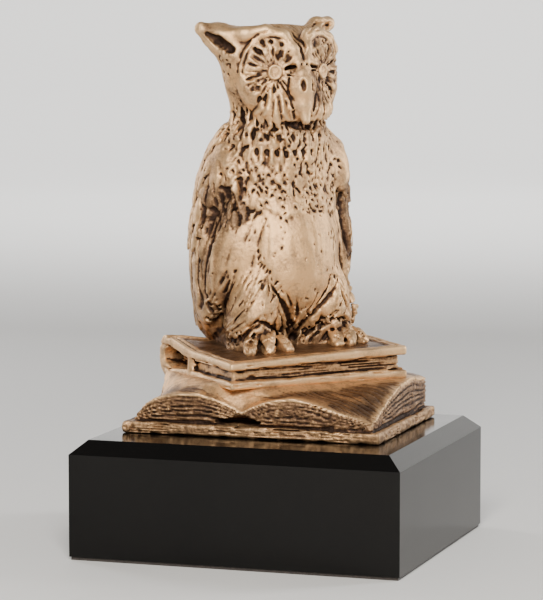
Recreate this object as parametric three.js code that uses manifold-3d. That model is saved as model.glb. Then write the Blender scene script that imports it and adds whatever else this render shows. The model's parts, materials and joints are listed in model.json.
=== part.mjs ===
// An owl figurine: a cast owl stands on a closed book, which lies across an open book, on a black
// lacquered plinth. One stud from under the plinth clamps the three castings, and pins stop them turning.
// Millimetres, +Z up. The origin is the centre of the felt's underside, and the plinth's long front
// faces -Y. The owl and the closed book share a frame turned about the stud: its -Y is where the owl looks.
import * as THREE from "three";
import { ConvexGeometry } from "three/addons/geometries/ConvexGeometry.js";
import { mergeVertices } from "three/addons/utils/BufferGeometryUtils.js";
import Module from "manifold-3d";

const wasm = await Module();
wasm.setup();

// Plinth and felt
const PLINTH_WIDTH = 100;
const PLINTH_DEPTH = 90;
const PLINTH_TOP = 35;
const FELT_THICKNESS = 1;
const FELT_INSET = 0.5;
const CHAMFER_IN = 4.5;
const CHAMFER_DOWN = 4;

// Open book, square to the plinth
const COVER = { left: -41, right: 38, front: -25, back: 36, thickness: 3.4 };
const PAGES = { left: -37.5, right: 35.5, front: -24, back: 34, endHeight: 5, crest: 12.6 };
const GUTTER = { x: -4.3, height: 7.3 };
const PAGE_END_RISE = 6;
const SEAT_HEIGHT = 14;
const SEAT_INSET = 2.5;

// Closed book, in the turned frame
const STACK_X = -7;
const STACK_Y = 18;
const STACK_TURN = THREE.MathUtils.degToRad(46);
const BOOK = { left: -31, right: 27, fore: -30, spine: 11.5 };
const BOOK_BOTTOM = PLINTH_TOP + SEAT_HEIGHT;
const BOARD_THICKNESS = 2;
const BOOK_NEAR_HEIGHT = 7.5;
const BOOK_SLOPE = 0.035;
const PAGE_INSET = 1.6;

// Owl: heights are above its footing on the stud's axis
const OWL_FOOTING = BOOK_BOTTOM + bookHeight(0, 0);
const HEAD_TURN = THREE.MathUtils.degToRad(6);
const HEAD_HEIGHT = 80.5;
const FOOT_X = 12.5;
const SEAM_GAP = 0.3;

// Fixings
const STUD_RADIUS = 2.5;
const STUD_FROM = 5;
const STUD_TO = OWL_FOOTING + 17;
const STUD_CLEARANCE = 0.4;
const COUNTERBORE_RADIUS = 9;
const COUNTERBORE_DEPTH = 12;
const WASHER_RADIUS = 7.5;
const WASHER_THICKNESS = 1.2;
const LOCK_WASHER_RADIUS = 4.6;
const LOCK_WASHER_THICKNESS = 1.3;
const NUT_ACROSS_FLATS = 8;
const NUT_HEIGHT = 4;
const INSERT_RADIUS = 4;
const INSERT_LENGTH = 14;
const PIN_RADIUS = 1.5;
const FIT_GAP = 0.05;
const ROUND_SIDES = 32;

const colours = {
  lacquer: new THREE.MeshStandardMaterial({ color: 0x0b0a09, roughness: 0.12, metalness: 0 }),
  felt: new THREE.MeshStandardMaterial({ color: 0x11100f, roughness: 1, metalness: 0 }),
  bronze: new THREE.MeshStandardMaterial({ color: 0xc2a582, roughness: 0.42, metalness: 0.6 }),
  steel: new THREE.MeshStandardMaterial({ color: 0xa9abad, roughness: 0.35, metalness: 1 }),
  brass: new THREE.MeshStandardMaterial({ color: 0xc9a34f, roughness: 0.35, metalness: 1 }),
};

// The closed book's thickness: it lies a little open, so its top rises away from the near corner.
function bookHeight(x, y) {
  return BOOK_NEAR_HEIGHT + BOOK_SLOPE * (x - BOOK.left + (y - BOOK.fore));
}

// A closed three.js geometry as a solid that can be joined and cut.
function solid(geometry) {
  const bare = new THREE.BufferGeometry();
  bare.setAttribute("position", geometry.getAttribute("position"));
  bare.setIndex(geometry.index);
  const merged = mergeVertices(bare, 1e-4);
  const mesh = new wasm.Mesh({
    numProp: 3,
    vertProperties: merged.attributes.position.array,
    triVerts: new Uint32Array(merged.index.array),
  });
  return new wasm.Manifold(mesh);
}

function joined(solids) {
  return solids.reduce((sum, next) => sum.add(next));
}

function piece(name, body, material) {
  const made = body.getMesh();
  const geometry = new THREE.BufferGeometry();
  geometry.setAttribute("position", new THREE.BufferAttribute(made.vertProperties, 3));
  geometry.setIndex(new THREE.BufferAttribute(made.triVerts, 1));
  geometry.computeVertexNormals();
  const mesh = new THREE.Mesh(geometry, material);
  mesh.name = name;
  return mesh;
}

// Moves every vertex of a geometry to where rule(point) says.
function reshape(geometry, rule) {
  const place = geometry.getAttribute("position");
  const point = new THREE.Vector3();
  for (let i = 0; i < place.count; i++) {
    point.fromBufferAttribute(place, i);
    rule(point);
    place.setXYZ(i, point.x, point.y, point.z);
  }
  return geometry;
}

function box(x0, x1, y0, y1, z0, z1) {
  const geometry = new THREE.BoxGeometry(x1 - x0, y1 - y0, z1 - z0);
  return geometry.translate((x0 + x1) / 2, (y0 + y1) / 2, (z0 + z1) / 2);
}

// A round bar along Z.
function bar(x, y, z0, z1, radius, sides = ROUND_SIDES) {
  const geometry = new THREE.CylinderGeometry(radius, radius, z1 - z0, sides);
  return geometry.rotateX(Math.PI / 2).translate(x, y, (z0 + z1) / 2);
}

function ellipsoid(centre, radii, turn = [0, 0, 0], around = 20, down = 12) {
  const geometry = new THREE.SphereGeometry(1, around, down).rotateX(Math.PI / 2);
  const place = new THREE.Matrix4().compose(
    new THREE.Vector3(...centre),
    new THREE.Quaternion().setFromEuler(new THREE.Euler(...turn)),
    new THREE.Vector3(...radii),
  );
  return solid(geometry.applyMatrix4(place));
}

// A tapered limb between two points.
function limb(from, to, radiusFrom, radiusTo, sides = 12) {
  const start = new THREE.Vector3(...from);
  const along = new THREE.Vector3(...to).sub(start);
  const geometry = new THREE.CylinderGeometry(radiusTo, radiusFrom, along.length(), sides);
  geometry.translate(0, along.length() / 2, 0);
  const up = new THREE.Vector3(0, 1, 0);
  geometry.applyQuaternion(new THREE.Quaternion().setFromUnitVectors(up, along.normalize()));
  return solid(geometry.translate(...from));
}

// A shape drawn in (x, height), pushed back along Y.
function alongDepth(shape, front, back, steps = 1, curveSegments = 10) {
  const settings = { depth: back - front, bevelEnabled: false, steps, curveSegments };
  const geometry = new THREE.ExtrudeGeometry(shape, settings);
  return geometry.rotateX(Math.PI / 2).translate(0, back, 0);
}

// The turned frame's geometry in the plinth's frame, for cutting the open book.
function unturned(geometry) {
  return geometry.rotateZ(STACK_TURN).translate(STACK_X, STACK_Y, 0);
}

function hollowRound(radius, hole, z0, z1, sides = ROUND_SIDES) {
  return solid(bar(0, 0, z0, z1, radius, sides)).subtract(solid(bar(0, 0, z0 - 1, z1 + 1, hole)));
}

const pins = {
  plinth: [-30, 27].map((x) => ({ x, y: 22, z0: PLINTH_TOP - 5, z1: PLINTH_TOP + 4 })),
  book: [-19, 18].map((x) => ({ x, y: -8, z0: BOOK_BOTTOM - 5, z1: BOOK_BOTTOM + 4 })),
  owl: [-10, 10].map((x) => ({ x, y: -6, z0: OWL_FOOTING - 5, z1: OWL_FOOTING + 5 })),
};

function pinHoles(list) {
  return list.map((p) => solid(bar(p.x, p.y, p.z0 - SEAM_GAP, p.z1 + SEAM_GAP, PIN_RADIUS + FIT_GAP)));
}

function plinth() {
  const x = PLINTH_WIDTH / 2;
  const y = PLINTH_DEPTH / 2;
  const corners = [];
  for (const side of [-1, 1]) {
    for (const end of [-1, 1]) {
      corners.push(new THREE.Vector3(side * x, end * y, FELT_THICKNESS));
      corners.push(new THREE.Vector3(side * x, end * y, PLINTH_TOP - CHAMFER_DOWN));
      corners.push(new THREE.Vector3(side * (x - CHAMFER_IN), end * (y - CHAMFER_IN), PLINTH_TOP));
    }
  }
  const counterboreTop = FELT_THICKNESS + COUNTERBORE_DEPTH;
  const holes = [
    solid(bar(STACK_X, STACK_Y, 0, PLINTH_TOP + 1, STUD_RADIUS + STUD_CLEARANCE)),
    solid(bar(STACK_X, STACK_Y, 0, counterboreTop, COUNTERBORE_RADIUS)),
    ...pinHoles(pins.plinth),
  ];
  return holes.reduce((block, hole) => block.subtract(hole), solid(new ConvexGeometry(corners)));
}

function felt() {
  const x = PLINTH_WIDTH / 2 - FELT_INSET;
  const y = PLINTH_DEPTH / 2 - FELT_INSET;
  return solid(box(-x, x, -y, y, 0, FELT_THICKNESS));
}

// Both page blocks, seen from the front: two crowned humps that dip to the gutter.
function pageOutline() {
  const foot = PLINTH_TOP + COVER.thickness - 1;
  const end = PLINTH_TOP + PAGES.endHeight;
  const crest = PLINTH_TOP + PAGES.crest;
  const leftHump = [
    new THREE.Vector2(-31, crest - 1.9),
    new THREE.Vector2(-21, crest),
    new THREE.Vector2(-12, crest - 1.4),
    new THREE.Vector2(GUTTER.x, PLINTH_TOP + GUTTER.height),
  ];
  const rightHump = [
    new THREE.Vector2(3, crest - 1.4),
    new THREE.Vector2(11, crest),
    new THREE.Vector2(21, crest - 2.4),
    new THREE.Vector2(PAGES.right, end),
  ];
  const shape = new THREE.Shape();
  shape.moveTo(PAGES.left, foot);
  shape.lineTo(PAGES.left, end);
  shape.splineThru(leftHump);
  shape.splineThru(rightHump);
  shape.lineTo(PAGES.right, foot);
  return shape;
}

// The outer end of the right-hand pages lifts towards the back.
function liftPageEnd(point) {
  if (point.z < PLINTH_TOP + COVER.thickness) return;
  const back = (point.y - PAGES.front) / (PAGES.back - PAGES.front);
  const out = Math.max(0, (point.x - 12) / (PAGES.right - 12));
  point.z += PAGE_END_RISE * Math.min(1, 1.3 * back) * out;
}

function openBook() {
  const cover = box(COVER.left, COVER.right, COVER.front, COVER.back,
    PLINTH_TOP, PLINTH_TOP + COVER.thickness);
  const pages = alongDepth(pageOutline(), PAGES.front, PAGES.back, 4, 6);
  const seat = unturned(box(BOOK.left + SEAT_INSET, BOOK.right - SEAT_INSET,
    BOOK.fore + SEAT_INSET, BOOK.spine - SEAT_INSET, PLINTH_TOP + 1, BOOK_BOTTOM));
  const bounds = solid(box(PAGES.left, PAGES.right, PAGES.front, PAGES.back, 0, BOOK_BOTTOM));
  const blocks = solid(reshape(pages, liftPageEnd)).add(solid(seat)).intersect(bounds);
  const holes = [
    solid(bar(STACK_X, STACK_Y, 0, BOOK_BOTTOM + 1, STUD_RADIUS + STUD_CLEARANCE)),
    ...pinHoles(pins.plinth),
    ...pins.book.map((p) => solid(unturned(
      bar(p.x, p.y, p.z0 - SEAM_GAP, p.z1, PIN_RADIUS + FIT_GAP)))),
  ];
  return holes.reduce((body, hole) => body.subtract(hole), solid(cover).add(blocks));
}

// Seen from its end: two boards joined by a rounded spine, with the pages set in at the fore edge.
function closedBookOutline(inset) {
  const top = BOOK_NEAR_HEIGHT;
  const shape = new THREE.Shape();
  const radius = top / 2;
  shape.moveTo(BOOK.fore, inset);
  shape.lineTo(BOOK.spine - radius, inset);
  shape.absarc(BOOK.spine - radius, radius, radius - inset, -Math.PI / 2, Math.PI / 2, false);
  shape.lineTo(BOOK.fore, top - inset);
  return shape;
}

function closedBook() {
  const wedge = (p) => {
    p.z = BOOK_BOTTOM + (p.z / BOOK_NEAR_HEIGHT) * bookHeight(p.x, p.y);
  };
  const lengthwise = (shape, from, to) => {
    const geometry = new THREE.ExtrudeGeometry(shape,
      { depth: to - from, bevelEnabled: false, curveSegments: 12 });
    // (x, y) of the drawing become (y, z), and the depth runs along +X
    geometry.applyMatrix4(new THREE.Matrix4().set(0, 0, 1, from, 1, 0, 0, 0, 0, 1, 0, 0, 0, 0, 0, 1));
    return geometry;
  };
  const outer = solid(reshape(lengthwise(closedBookOutline(0), BOOK.left, BOOK.right), wedge));
  const top = BOOK_NEAR_HEIGHT;
  const slot = (x0, x1, y0, y1) =>
    solid(reshape(box(x0, x1, y0, y1, BOARD_THICKNESS, top - BOARD_THICKNESS), wedge));
  const holes = [
    slot(BOOK.left - 1, BOOK.right + 1, BOOK.fore - 1, BOOK.fore + PAGE_INSET),
    slot(BOOK.left - 1, BOOK.left + PAGE_INSET, BOOK.fore - 1, BOOK.spine - BOARD_THICKNESS),
    slot(BOOK.right - PAGE_INSET, BOOK.right + 1, BOOK.fore - 1, BOOK.spine - BOARD_THICKNESS),
    solid(bar(0, 0, BOOK_BOTTOM - 1, OWL_FOOTING + 5, STUD_RADIUS + STUD_CLEARANCE)),
    ...pinHoles(pins.book),
    ...pinHoles(pins.owl),
  ];
  return holes.reduce((body, hole) => body.subtract(hole), outer);
}

// Turns a point of the head about the owl's axis, because the owl looks a little to its left.
function onHead([x, y, z]) {
  const turned = new THREE.Vector3(x, y, z).applyAxisAngle(new THREE.Vector3(0, 0, 1), HEAD_TURN);
  return turned.toArray();
}

function owlTorso() {
  return joined([
    ellipsoid([0, 3, 33], [21.5, 18.5, 33], [0, 0, 0], 28, 16),
    ellipsoid([0, -5, 26], [16.5, 15.5, 21], [0, 0, 0], 24, 14),
    ellipsoid([0, 1.5, 57.5], [17.5, 14.5, 13.5], [0, 0, 0], 24, 12),
    ellipsoid([0, 15, 16], [13, 8, 15], [0.25, 0, 0]),
    solid(box(-15, 15, -9, 14, -6, 8)),
  ]);
}

function owlHead() {
  return joined([
    ellipsoid(onHead([0, 1, HEAD_HEIGHT - 1]), [17, 15, 15], [0, 0, HEAD_TURN], 28, 16),
    ellipsoid(onHead([0, 2, HEAD_HEIGHT + 7]), [15, 11, 7], [0, 0, HEAD_TURN]),
  ]);
}

// What the owl has once on each side: side is -1 for its right, +1 for its left.
function owlSide(side) {
  const toes = [-0.42, 0, 0.42].map((spread) => {
    const tip = [side * FOOT_X + 9 * Math.sin(spread), -12 - 9 * Math.cos(spread), 0.2];
    return limb([side * FOOT_X, -11, 4.2], tip, 3, 1.6);
  });
  return joined([
    ellipsoid([side * 19.5, 4, 33], [6, 12.5, 28], [0.06, side * -0.09, 0], 20, 16),
    ellipsoid([side * 17.5, 8, 14], [5, 8, 13], [0.3, side * -0.1, 0]),
    ellipsoid([side * FOOT_X, -8, 12], [8, 8.5, 13]),
    limb(onHead([side * 10, 3, HEAD_HEIGHT + 6]), onHead([side * 22, 9, HEAD_HEIGHT + 15]), 7, 1.6),
    ellipsoid(onHead([side * 8, -9.5, HEAD_HEIGHT + 1]), [9, 5.5, 11], [0, 0, HEAD_TURN + side * 0.35]),
    ...toes,
  ]);
}

function owl() {
  const beak = limb(onHead([0, -12, HEAD_HEIGHT + 5]), onHead([0, -18, HEAD_HEIGHT - 12]), 4.5, 1.4);
  const body = joined([owlTorso(), owlHead(), beak, owlSide(-1), owlSide(1)]);
  const under = box(-60, 60, -60, 60, -40, 0);
  reshape(under, (p) => {
    if (p.z === 0) p.z = BOOK_SLOPE * (p.x + p.y) + SEAM_GAP;
  });
  const insertTop = INSERT_LENGTH + 1;
  const holes = [
    solid(under),
    solid(bar(0, 0, -10, STUD_TO - OWL_FOOTING + 1, STUD_RADIUS + STUD_CLEARANCE)),
    solid(bar(0, 0, -10, insertTop + FIT_GAP, INSERT_RADIUS + FIT_GAP)),
    ...pins.owl.map((p) => solid(bar(p.x, p.y, -9, 5 + SEAM_GAP, PIN_RADIUS + FIT_GAP))),
  ];
  return holes.reduce((rest, hole) => rest.subtract(hole), body);
}

const figurine = new THREE.Group();
figurine.add(piece("plinth", plinth(), colours.lacquer));
figurine.add(piece("felt_base", felt(), colours.felt));
figurine.add(piece("open_book", openBook(), colours.bronze));
pins.plinth.forEach((p, i) => {
  const body = solid(bar(p.x, p.y, p.z0, p.z1, PIN_RADIUS));
  figurine.add(piece(`plinth_pin_${i + 1}`, body, colours.steel));
});

const stack = new THREE.Group();
stack.position.set(STACK_X, STACK_Y, 0);
stack.rotation.z = STACK_TURN;
figurine.add(stack);
stack.add(piece("closed_book", closedBook(), colours.bronze));
for (const level of ["book", "owl"]) {
  pins[level].forEach((p, i) => {
    const body = solid(bar(p.x, p.y, p.z0, p.z1, PIN_RADIUS));
    stack.add(piece(`${level}_pin_${i + 1}`, body, colours.steel));
  });
}

const owlMesh = piece("owl_figure", owl(), colours.bronze);
owlMesh.position.z = OWL_FOOTING;
stack.add(owlMesh);

// The fixings, from the owl down to the nut in the plinth's counterbore
const insertBottom = OWL_FOOTING + 1;
const counterboreTop = FELT_THICKNESS + COUNTERBORE_DEPTH;
const lockTop = counterboreTop - WASHER_THICKNESS;
const nutTop = lockTop - LOCK_WASHER_THICKNESS;
const clearHole = STUD_RADIUS + FIT_GAP;
const fixings = {
  threaded_insert: [hollowRound(INSERT_RADIUS, clearHole, insertBottom, insertBottom + INSERT_LENGTH),
    colours.brass],
  fixing_stud: [solid(bar(0, 0, STUD_FROM, STUD_TO, STUD_RADIUS)), colours.steel],
  plain_washer: [hollowRound(WASHER_RADIUS, clearHole, lockTop, counterboreTop), colours.steel],
  lock_washer: [hollowRound(LOCK_WASHER_RADIUS, clearHole, nutTop, lockTop), colours.steel],
  hex_nut: [hollowRound(NUT_ACROSS_FLATS / Math.sqrt(3), clearHole, nutTop - NUT_HEIGHT, nutTop, 6),
    colours.steel],
};
for (const [name, [body, material]] of Object.entries(fixings)) {
  stack.add(piece(name, body, material));
}

export default figurine;
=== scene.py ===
"""Owl figurine: the looks of the cast owl and books on their lacquered plinth.

The owl and the two books are sculpted as clay: a grid of signed distances in millimetres that
shapes are added to and cut from, turned into a mesh at the end. The plinth keeps its CAD form
with its edges eased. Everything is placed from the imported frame.
"""
import functools
import json
import math

import bmesh
import bpy
import numpy as np
from mathutils import Matrix, Vector


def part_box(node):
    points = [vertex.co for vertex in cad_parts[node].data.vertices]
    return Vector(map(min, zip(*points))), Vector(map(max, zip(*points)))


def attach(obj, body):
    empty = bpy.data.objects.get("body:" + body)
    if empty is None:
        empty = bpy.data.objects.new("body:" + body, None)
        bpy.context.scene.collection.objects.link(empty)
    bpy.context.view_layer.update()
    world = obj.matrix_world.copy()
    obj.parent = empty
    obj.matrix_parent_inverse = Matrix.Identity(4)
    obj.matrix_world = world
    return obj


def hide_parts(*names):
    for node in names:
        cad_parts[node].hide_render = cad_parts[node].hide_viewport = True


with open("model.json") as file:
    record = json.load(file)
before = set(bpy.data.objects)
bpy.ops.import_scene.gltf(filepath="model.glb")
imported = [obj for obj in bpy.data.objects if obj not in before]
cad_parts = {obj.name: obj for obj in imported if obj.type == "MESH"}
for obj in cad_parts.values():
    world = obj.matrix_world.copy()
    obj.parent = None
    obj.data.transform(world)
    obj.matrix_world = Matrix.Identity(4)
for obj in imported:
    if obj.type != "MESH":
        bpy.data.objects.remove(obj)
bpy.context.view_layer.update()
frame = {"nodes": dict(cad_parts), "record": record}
MM = 0.001

# the clay grid's spacing in millimetres
OWL_STEP = 0.31
BOOK_STEP = 0.38
FACE_LIMIT = 198000                 # triangles in one piece
FAR = 40.0                          # the distance held where there is no clay
HOLLOW_SIZES = (0.55, 1.3, 3.6)     # reach of the three measures of hollowness, in millimetres


# ---------------------------------------------------------------- the frame, in millimetres
def cad_box(node):
    """The low and high corners of a CAD part."""
    low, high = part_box(node)
    return np.array(low) / MM, np.array(high) / MM


def cad_centre(node):
    """The middle of a CAD part's box."""
    low, high = cad_box(node)
    return (low + high) / 2


STUD = cad_centre("fixing_stud")
PIN_LINE = cad_centre("owl_pin_2") - cad_centre("owl_pin_1")
STACK_TURN = math.atan2(PIN_LINE[1], PIN_LINE[0])
FOOTING = cad_centre("owl_pin_1")[2]
PLINTH_TOP = cad_box("plinth")[1][2]
BOOK_BOTTOM = cad_box("closed_book")[0][2]


def stack_matrix(height):
    """The turned frame of the owl and closed book, in metres, at a height in millimetres."""
    place = Matrix.Translation((STUD[0] * MM, STUD[1] * MM, height * MM))
    return place @ Matrix.Rotation(STACK_TURN, 4, "Z") @ Matrix.Scale(MM, 4)


# ---------------------------------------------------------------- clay
def smooth_min(a, b, k):
    """The smaller of two distances, rounded over where they are within k of each other."""
    if k <= 0:
        return np.minimum(a, b)
    h = np.clip(0.5 + 0.5 * (b - a) / k, 0, 1)
    return b + (a - b) * h - k * h * (1 - h)


def unit(v):
    """Vectors scaled to a length of 1."""
    v = np.asarray(v, float)
    return v / np.linalg.norm(v, axis=-1, keepdims=True)


def turned(axis, degrees):
    """The matrix of a turn about the x, y or z axis (0, 1 or 2)."""
    a, i, j = math.radians(degrees), (axis + 1) % 3, (axis + 2) % 3
    matrix = np.eye(3)
    matrix[i, i] = matrix[j, j] = math.cos(a)
    matrix[i, j], matrix[j, i] = -math.sin(a), math.sin(a)
    return matrix


turn_x, turn_y, turn_z = (functools.partial(turned, axis) for axis in range(3))


def ellipsoid(centre, radii, turn=None):
    """Columns of turn are the ellipsoid's own axes."""
    centre = np.asarray(centre, float)
    turn = np.eye(3) if turn is None else turn
    radii = np.asarray(radii, float)

    def distance(x, y, z):
        p = (x - centre[0], y - centre[1], z - centre[2])
        own = [turn[0, i] * p[0] + turn[1, i] * p[1] + turn[2, i] * p[2] for i in range(3)]
        near = np.sqrt(sum((own[i] / radii[i]) ** 2 for i in range(3)))
        slope = np.sqrt(sum((own[i] / radii[i] ** 2) ** 2 for i in range(3)))
        return near * (near - 1) / np.maximum(slope, 1e-4)
    reach = np.sqrt(((turn * radii) ** 2).sum(axis=1))
    return distance, centre - reach, centre + reach


def limb(start, end, r0, r1):
    """A round bar that tapers from r0 to r1."""
    start, end = np.asarray(start, float), np.asarray(end, float)
    along = end - start
    size = max(float(along @ along), 1e-6)

    def distance(x, y, z):
        px, py, pz = x - start[0], y - start[1], z - start[2]
        t = np.clip((px * along[0] + py * along[1] + pz * along[2]) / size, 0, 1)
        gap = np.sqrt((px - t * along[0]) ** 2 + (py - t * along[1]) ** 2 + (pz - t * along[2]) ** 2)
        return gap - (r0 + (r1 - r0) * t)
    low = np.minimum(start - r0, end - r1)
    return distance, low, np.maximum(start + r0, end + r1)


def bar(clay, points, radii, blend):
    """Adds a bent round bar with a radius at each point."""
    for start, end, r0, r1 in zip(points[:-1], points[1:], radii[:-1], radii[1:]):
        clay.add(limb(start, end, r0, r1), blend)


def block(low, high, radius):
    """A box with rounded edges."""
    low, high = np.asarray(low, float), np.asarray(high, float)
    centre, half = (low + high) / 2, (high - low) / 2 - radius

    def distance(x, y, z):
        q = [abs(v - centre[i]) - half[i] for i, v in enumerate((x, y, z))]
        outside = np.sqrt(sum(np.maximum(v, 0) ** 2 for v in q))
        inside = np.minimum(np.maximum(np.maximum(q[0], q[1]), q[2]), 0)
        return outside + inside - radius
    return distance, low, high


def blend_corners(q, value, ease=False):
    """value(i, j, k) blended between the whole numbers around q."""
    i = np.floor(q).astype(int)
    f = q - i
    if ease:
        f = f * f * (3 - 2 * f)
    a, b, c = i[..., 0], i[..., 1], i[..., 2]
    u, v, w = f[..., 0], f[..., 1], f[..., 2]
    sides = []
    for da in (0, 1):
        near = value(a + da, b, c) * (1 - w) + value(a + da, b, c + 1) * w
        far = value(a + da, b + 1, c) * (1 - w) + value(a + da, b + 1, c + 1) * w
        sides.append(near * (1 - v) + far * v)
    return sides[0] * (1 - u) + sides[1] * u


class Clay:
    """A solid as a grid of signed distances in millimetres, negative inside."""

    def __init__(self, low, high, step):
        self.low, self.step = np.asarray(low, float), step
        self.axes = [np.arange(a, b + step, step, dtype=np.float32) for a, b in zip(low, high)]
        self.field = np.full([len(a) for a in self.axes], FAR, np.float32)

    def window(self, low, high, margin):
        """The part of the grid that a box and a margin cover, and its coordinates."""
        cuts = []
        for i in range(3):
            a = int((low[i] - margin - self.low[i]) / self.step)
            b = int((high[i] + margin - self.low[i]) / self.step) + 2
            cuts.append(slice(max(a, 0), max(min(b, self.field.shape[i]), 0)))
        x, y, z = (self.axes[i][cuts[i]] for i in range(3))
        return tuple(cuts), x[:, None, None], y[None, :, None], z[None, None, :]

    def add(self, shape, blend=0.5, margin=3.0):
        """Joins a shape on, with a fillet about as wide as blend."""
        distance, low, high = shape
        cuts, x, y, z = self.window(low, high, blend + margin)
        if self.field[cuts].size:
            self.field[cuts] = smooth_min(self.field[cuts], distance(x, y, z), blend)

    def cut(self, shape, blend=0.3):
        """Takes a shape away, rounding the new edge."""
        distance, low, high = shape
        cuts, x, y, z = self.window(low, high, blend + 0.5)
        if self.field[cuts].size:
            self.field[cuts] = -smooth_min(-self.field[cuts], distance(x, y, z), blend)

    def sample(self, points, field=None):
        """The distance, or another field on the same grid, at any points."""
        field = self.field if field is None else field
        q = (np.asarray(points, float) - self.low) / self.step
        q = np.clip(q, 0, np.array(field.shape) - 1.001)
        return blend_corners(q, lambda i, j, k: field[i, j, k])

    def normal(self, points):
        """The way out of the clay at points."""
        reach = self.step
        slopes = [self.sample(points + reach * e) - self.sample(points - reach * e) for e in np.eye(3)]
        return unit(np.stack(slopes, -1) + 1e-9)

    def land(self, origins, directions):
        """The first surface point along each ray, or along one direction from every origin."""
        p = np.array(origins, float)
        d = unit(directions)
        for _ in range(60):
            ahead = np.clip(self.sample(p), -0.4, 1.2) * 0.85
            p += d * ahead[..., None]
            if np.abs(ahead).max() < 0.004:
                break
        return p

    def relief(self, rule, reach=1.6):
        """Raises the surface by rule(points) millimetres."""
        near = np.nonzero(np.abs(self.field) < reach)
        points = np.stack([self.axes[i][near[i]] for i in range(3)], -1)
        self.field[near] -= rule(points).astype(np.float32)

    def gouge(self, path, radii, depth, blend=0.25):
        """Cuts a channel along surface points, with a radius and a depth at each."""
        self._stroke(path, radii, depth, self.cut, 1, blend)

    def ridge(self, path, radii, lift, blend=0.35):
        """Lays a bead along surface points."""
        self._stroke(path, radii, lift, self.add, -1, blend)

    def _stroke(self, path, radii, depth, act, side, blend):
        """Runs a bar along a path, its middle far enough in or out to leave depth of it showing."""
        path = np.atleast_2d(path)
        radii = np.broadcast_to(np.asarray(radii, float), len(path))
        depth = np.broadcast_to(np.asarray(depth, float), len(path))
        out = self.normal(path)
        centres = path + side * out * (radii - depth)[:, None]
        for i in range(len(path) - 1):
            act(limb(centres[i], centres[i + 1], radii[i], radii[i + 1]), blend)


NOISE = np.random.default_rng(7).random((32, 32, 32))


def noise(points, size, seed=0):
    """Smooth noise between -1 and 1, with lumps about size millimetres across."""
    q = np.asarray(points, float) / size + seed * 7.31 + 100
    return 2 * blend_corners(q, lambda i, j, k: NOISE[i % 32, j % 32, k % 32], ease=True) - 1


def smoothstep(low, high, value):
    """0 up to low, 1 from high on, and a soft rise between."""
    t = np.clip((value - low) / (high - low), 0, 1)
    return t * t * (3 - 2 * t)


def surface(clay):
    """The clay's surface as quads: one vertex in each cell that the surface crosses."""
    d = clay.field
    inside = d < 0
    corners = sum(inside[i:d.shape[0] - 1 + i, j:d.shape[1] - 1 + j, k:d.shape[2] - 1 + k].astype(np.int8)
                  for i, j, k in np.ndindex(2, 2, 2))
    active = (corners > 0) & (corners < 8)
    ids = np.full(active.shape, -1, np.int32)
    ids[active] = np.arange(active.sum())
    cells = np.argwhere(active)
    total = np.zeros((len(cells), 3))
    count = np.zeros(len(cells))
    for axis in range(3):
        others = [k for k in range(3) if k != axis]
        for u, v in np.ndindex(2, 2):
            start = np.zeros(3, int)
            start[others[0]], start[others[1]] = u, v
            end = start.copy()
            end[axis] = 1
            a = d[tuple((cells + start).T)]
            b = d[tuple((cells + end).T)]
            crosses = (a < 0) != (b < 0)
            t = np.where(crosses, a / np.where(crosses, a - b, 1), 0)
            total[crosses] += (start + t[:, None] * (end - start))[crosses]
            count += crosses
    points = clay.low + clay.step * (cells + total / count[:, None])
    quads = []
    for axis in range(3):
        u, v = [(axis + 1) % 3, (axis + 2) % 3]
        first = np.take(inside, range(d.shape[axis] - 1), axis)
        second = np.take(inside, range(1, d.shape[axis]), axis)
        edges = np.argwhere(first != second)
        edges = edges[(edges[:, u] > 0) & (edges[:, v] > 0)
                      & (edges[:, u] < d.shape[u] - 1) & (edges[:, v] < d.shape[v] - 1)]
        leaving = first[tuple(edges.T)]
        ring = []
        for du, dv in ((0, 0), (1, 0), (1, 1), (0, 1)):
            cell = edges.copy()
            cell[:, u] -= du
            cell[:, v] -= dv
            ring.append(ids[tuple(cell.T)])
        quad = np.stack(ring, -1)
        quad[~leaving] = quad[~leaving][:, ::-1]
        quads.append(quad)
    return points, np.concatenate(quads)


def mesh_of(name, points, quads):
    """A Blender mesh of four-sided faces."""
    mesh = bpy.data.meshes.new(name)
    mesh.vertices.add(len(points))
    mesh.vertices.foreach_set("co", np.asarray(points, np.float32).ravel())
    mesh.loops.add(quads.size)
    mesh.loops.foreach_set("vertex_index", quads.astype(np.int32).ravel())
    mesh.polygons.add(len(quads))
    mesh.polygons.foreach_set("loop_start", np.arange(0, quads.size, 4, dtype=np.int32))
    mesh.update(calc_edges=True)
    mesh.validate()
    return mesh


def box_blur(volume, cells):
    """A grid averaged twice along each axis over a number of cells to either side."""
    width = 2 * cells + 1
    for axis in range(3):
        for _ in range(2):
            pad = [(0, 0)] * 3
            pad[axis] = (cells + 1, cells)
            total = np.cumsum(np.pad(volume, pad, mode="edge"), axis=axis, dtype=np.float32)
            size = volume.shape[axis]
            high = np.take(total, range(width, width + size), axis)
            volume = (high - np.take(total, range(size), axis)) / width
    return volume


def hollowness(clay, points):
    """How far each point sits in a hollow, at three sizes: above 0 in hollows, below 0 on ridges."""
    filled = np.clip(0.5 - clay.field / clay.step, 0, 1)
    out = []
    for reach in HOLLOW_SIZES:
        cells = max(1, round(reach / clay.step))
        out.append(2 * clay.sample(points, box_blur(filled, cells)) - 1)
    return out


def link(obj):
    """Puts an object in the scene."""
    bpy.context.scene.collection.objects.link(obj)
    return obj


def smooth(mesh):
    """Shades every face of a mesh smoothly."""
    mesh.polygons.foreach_set("use_smooth", np.ones(len(mesh.polygons), bool))


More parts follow.
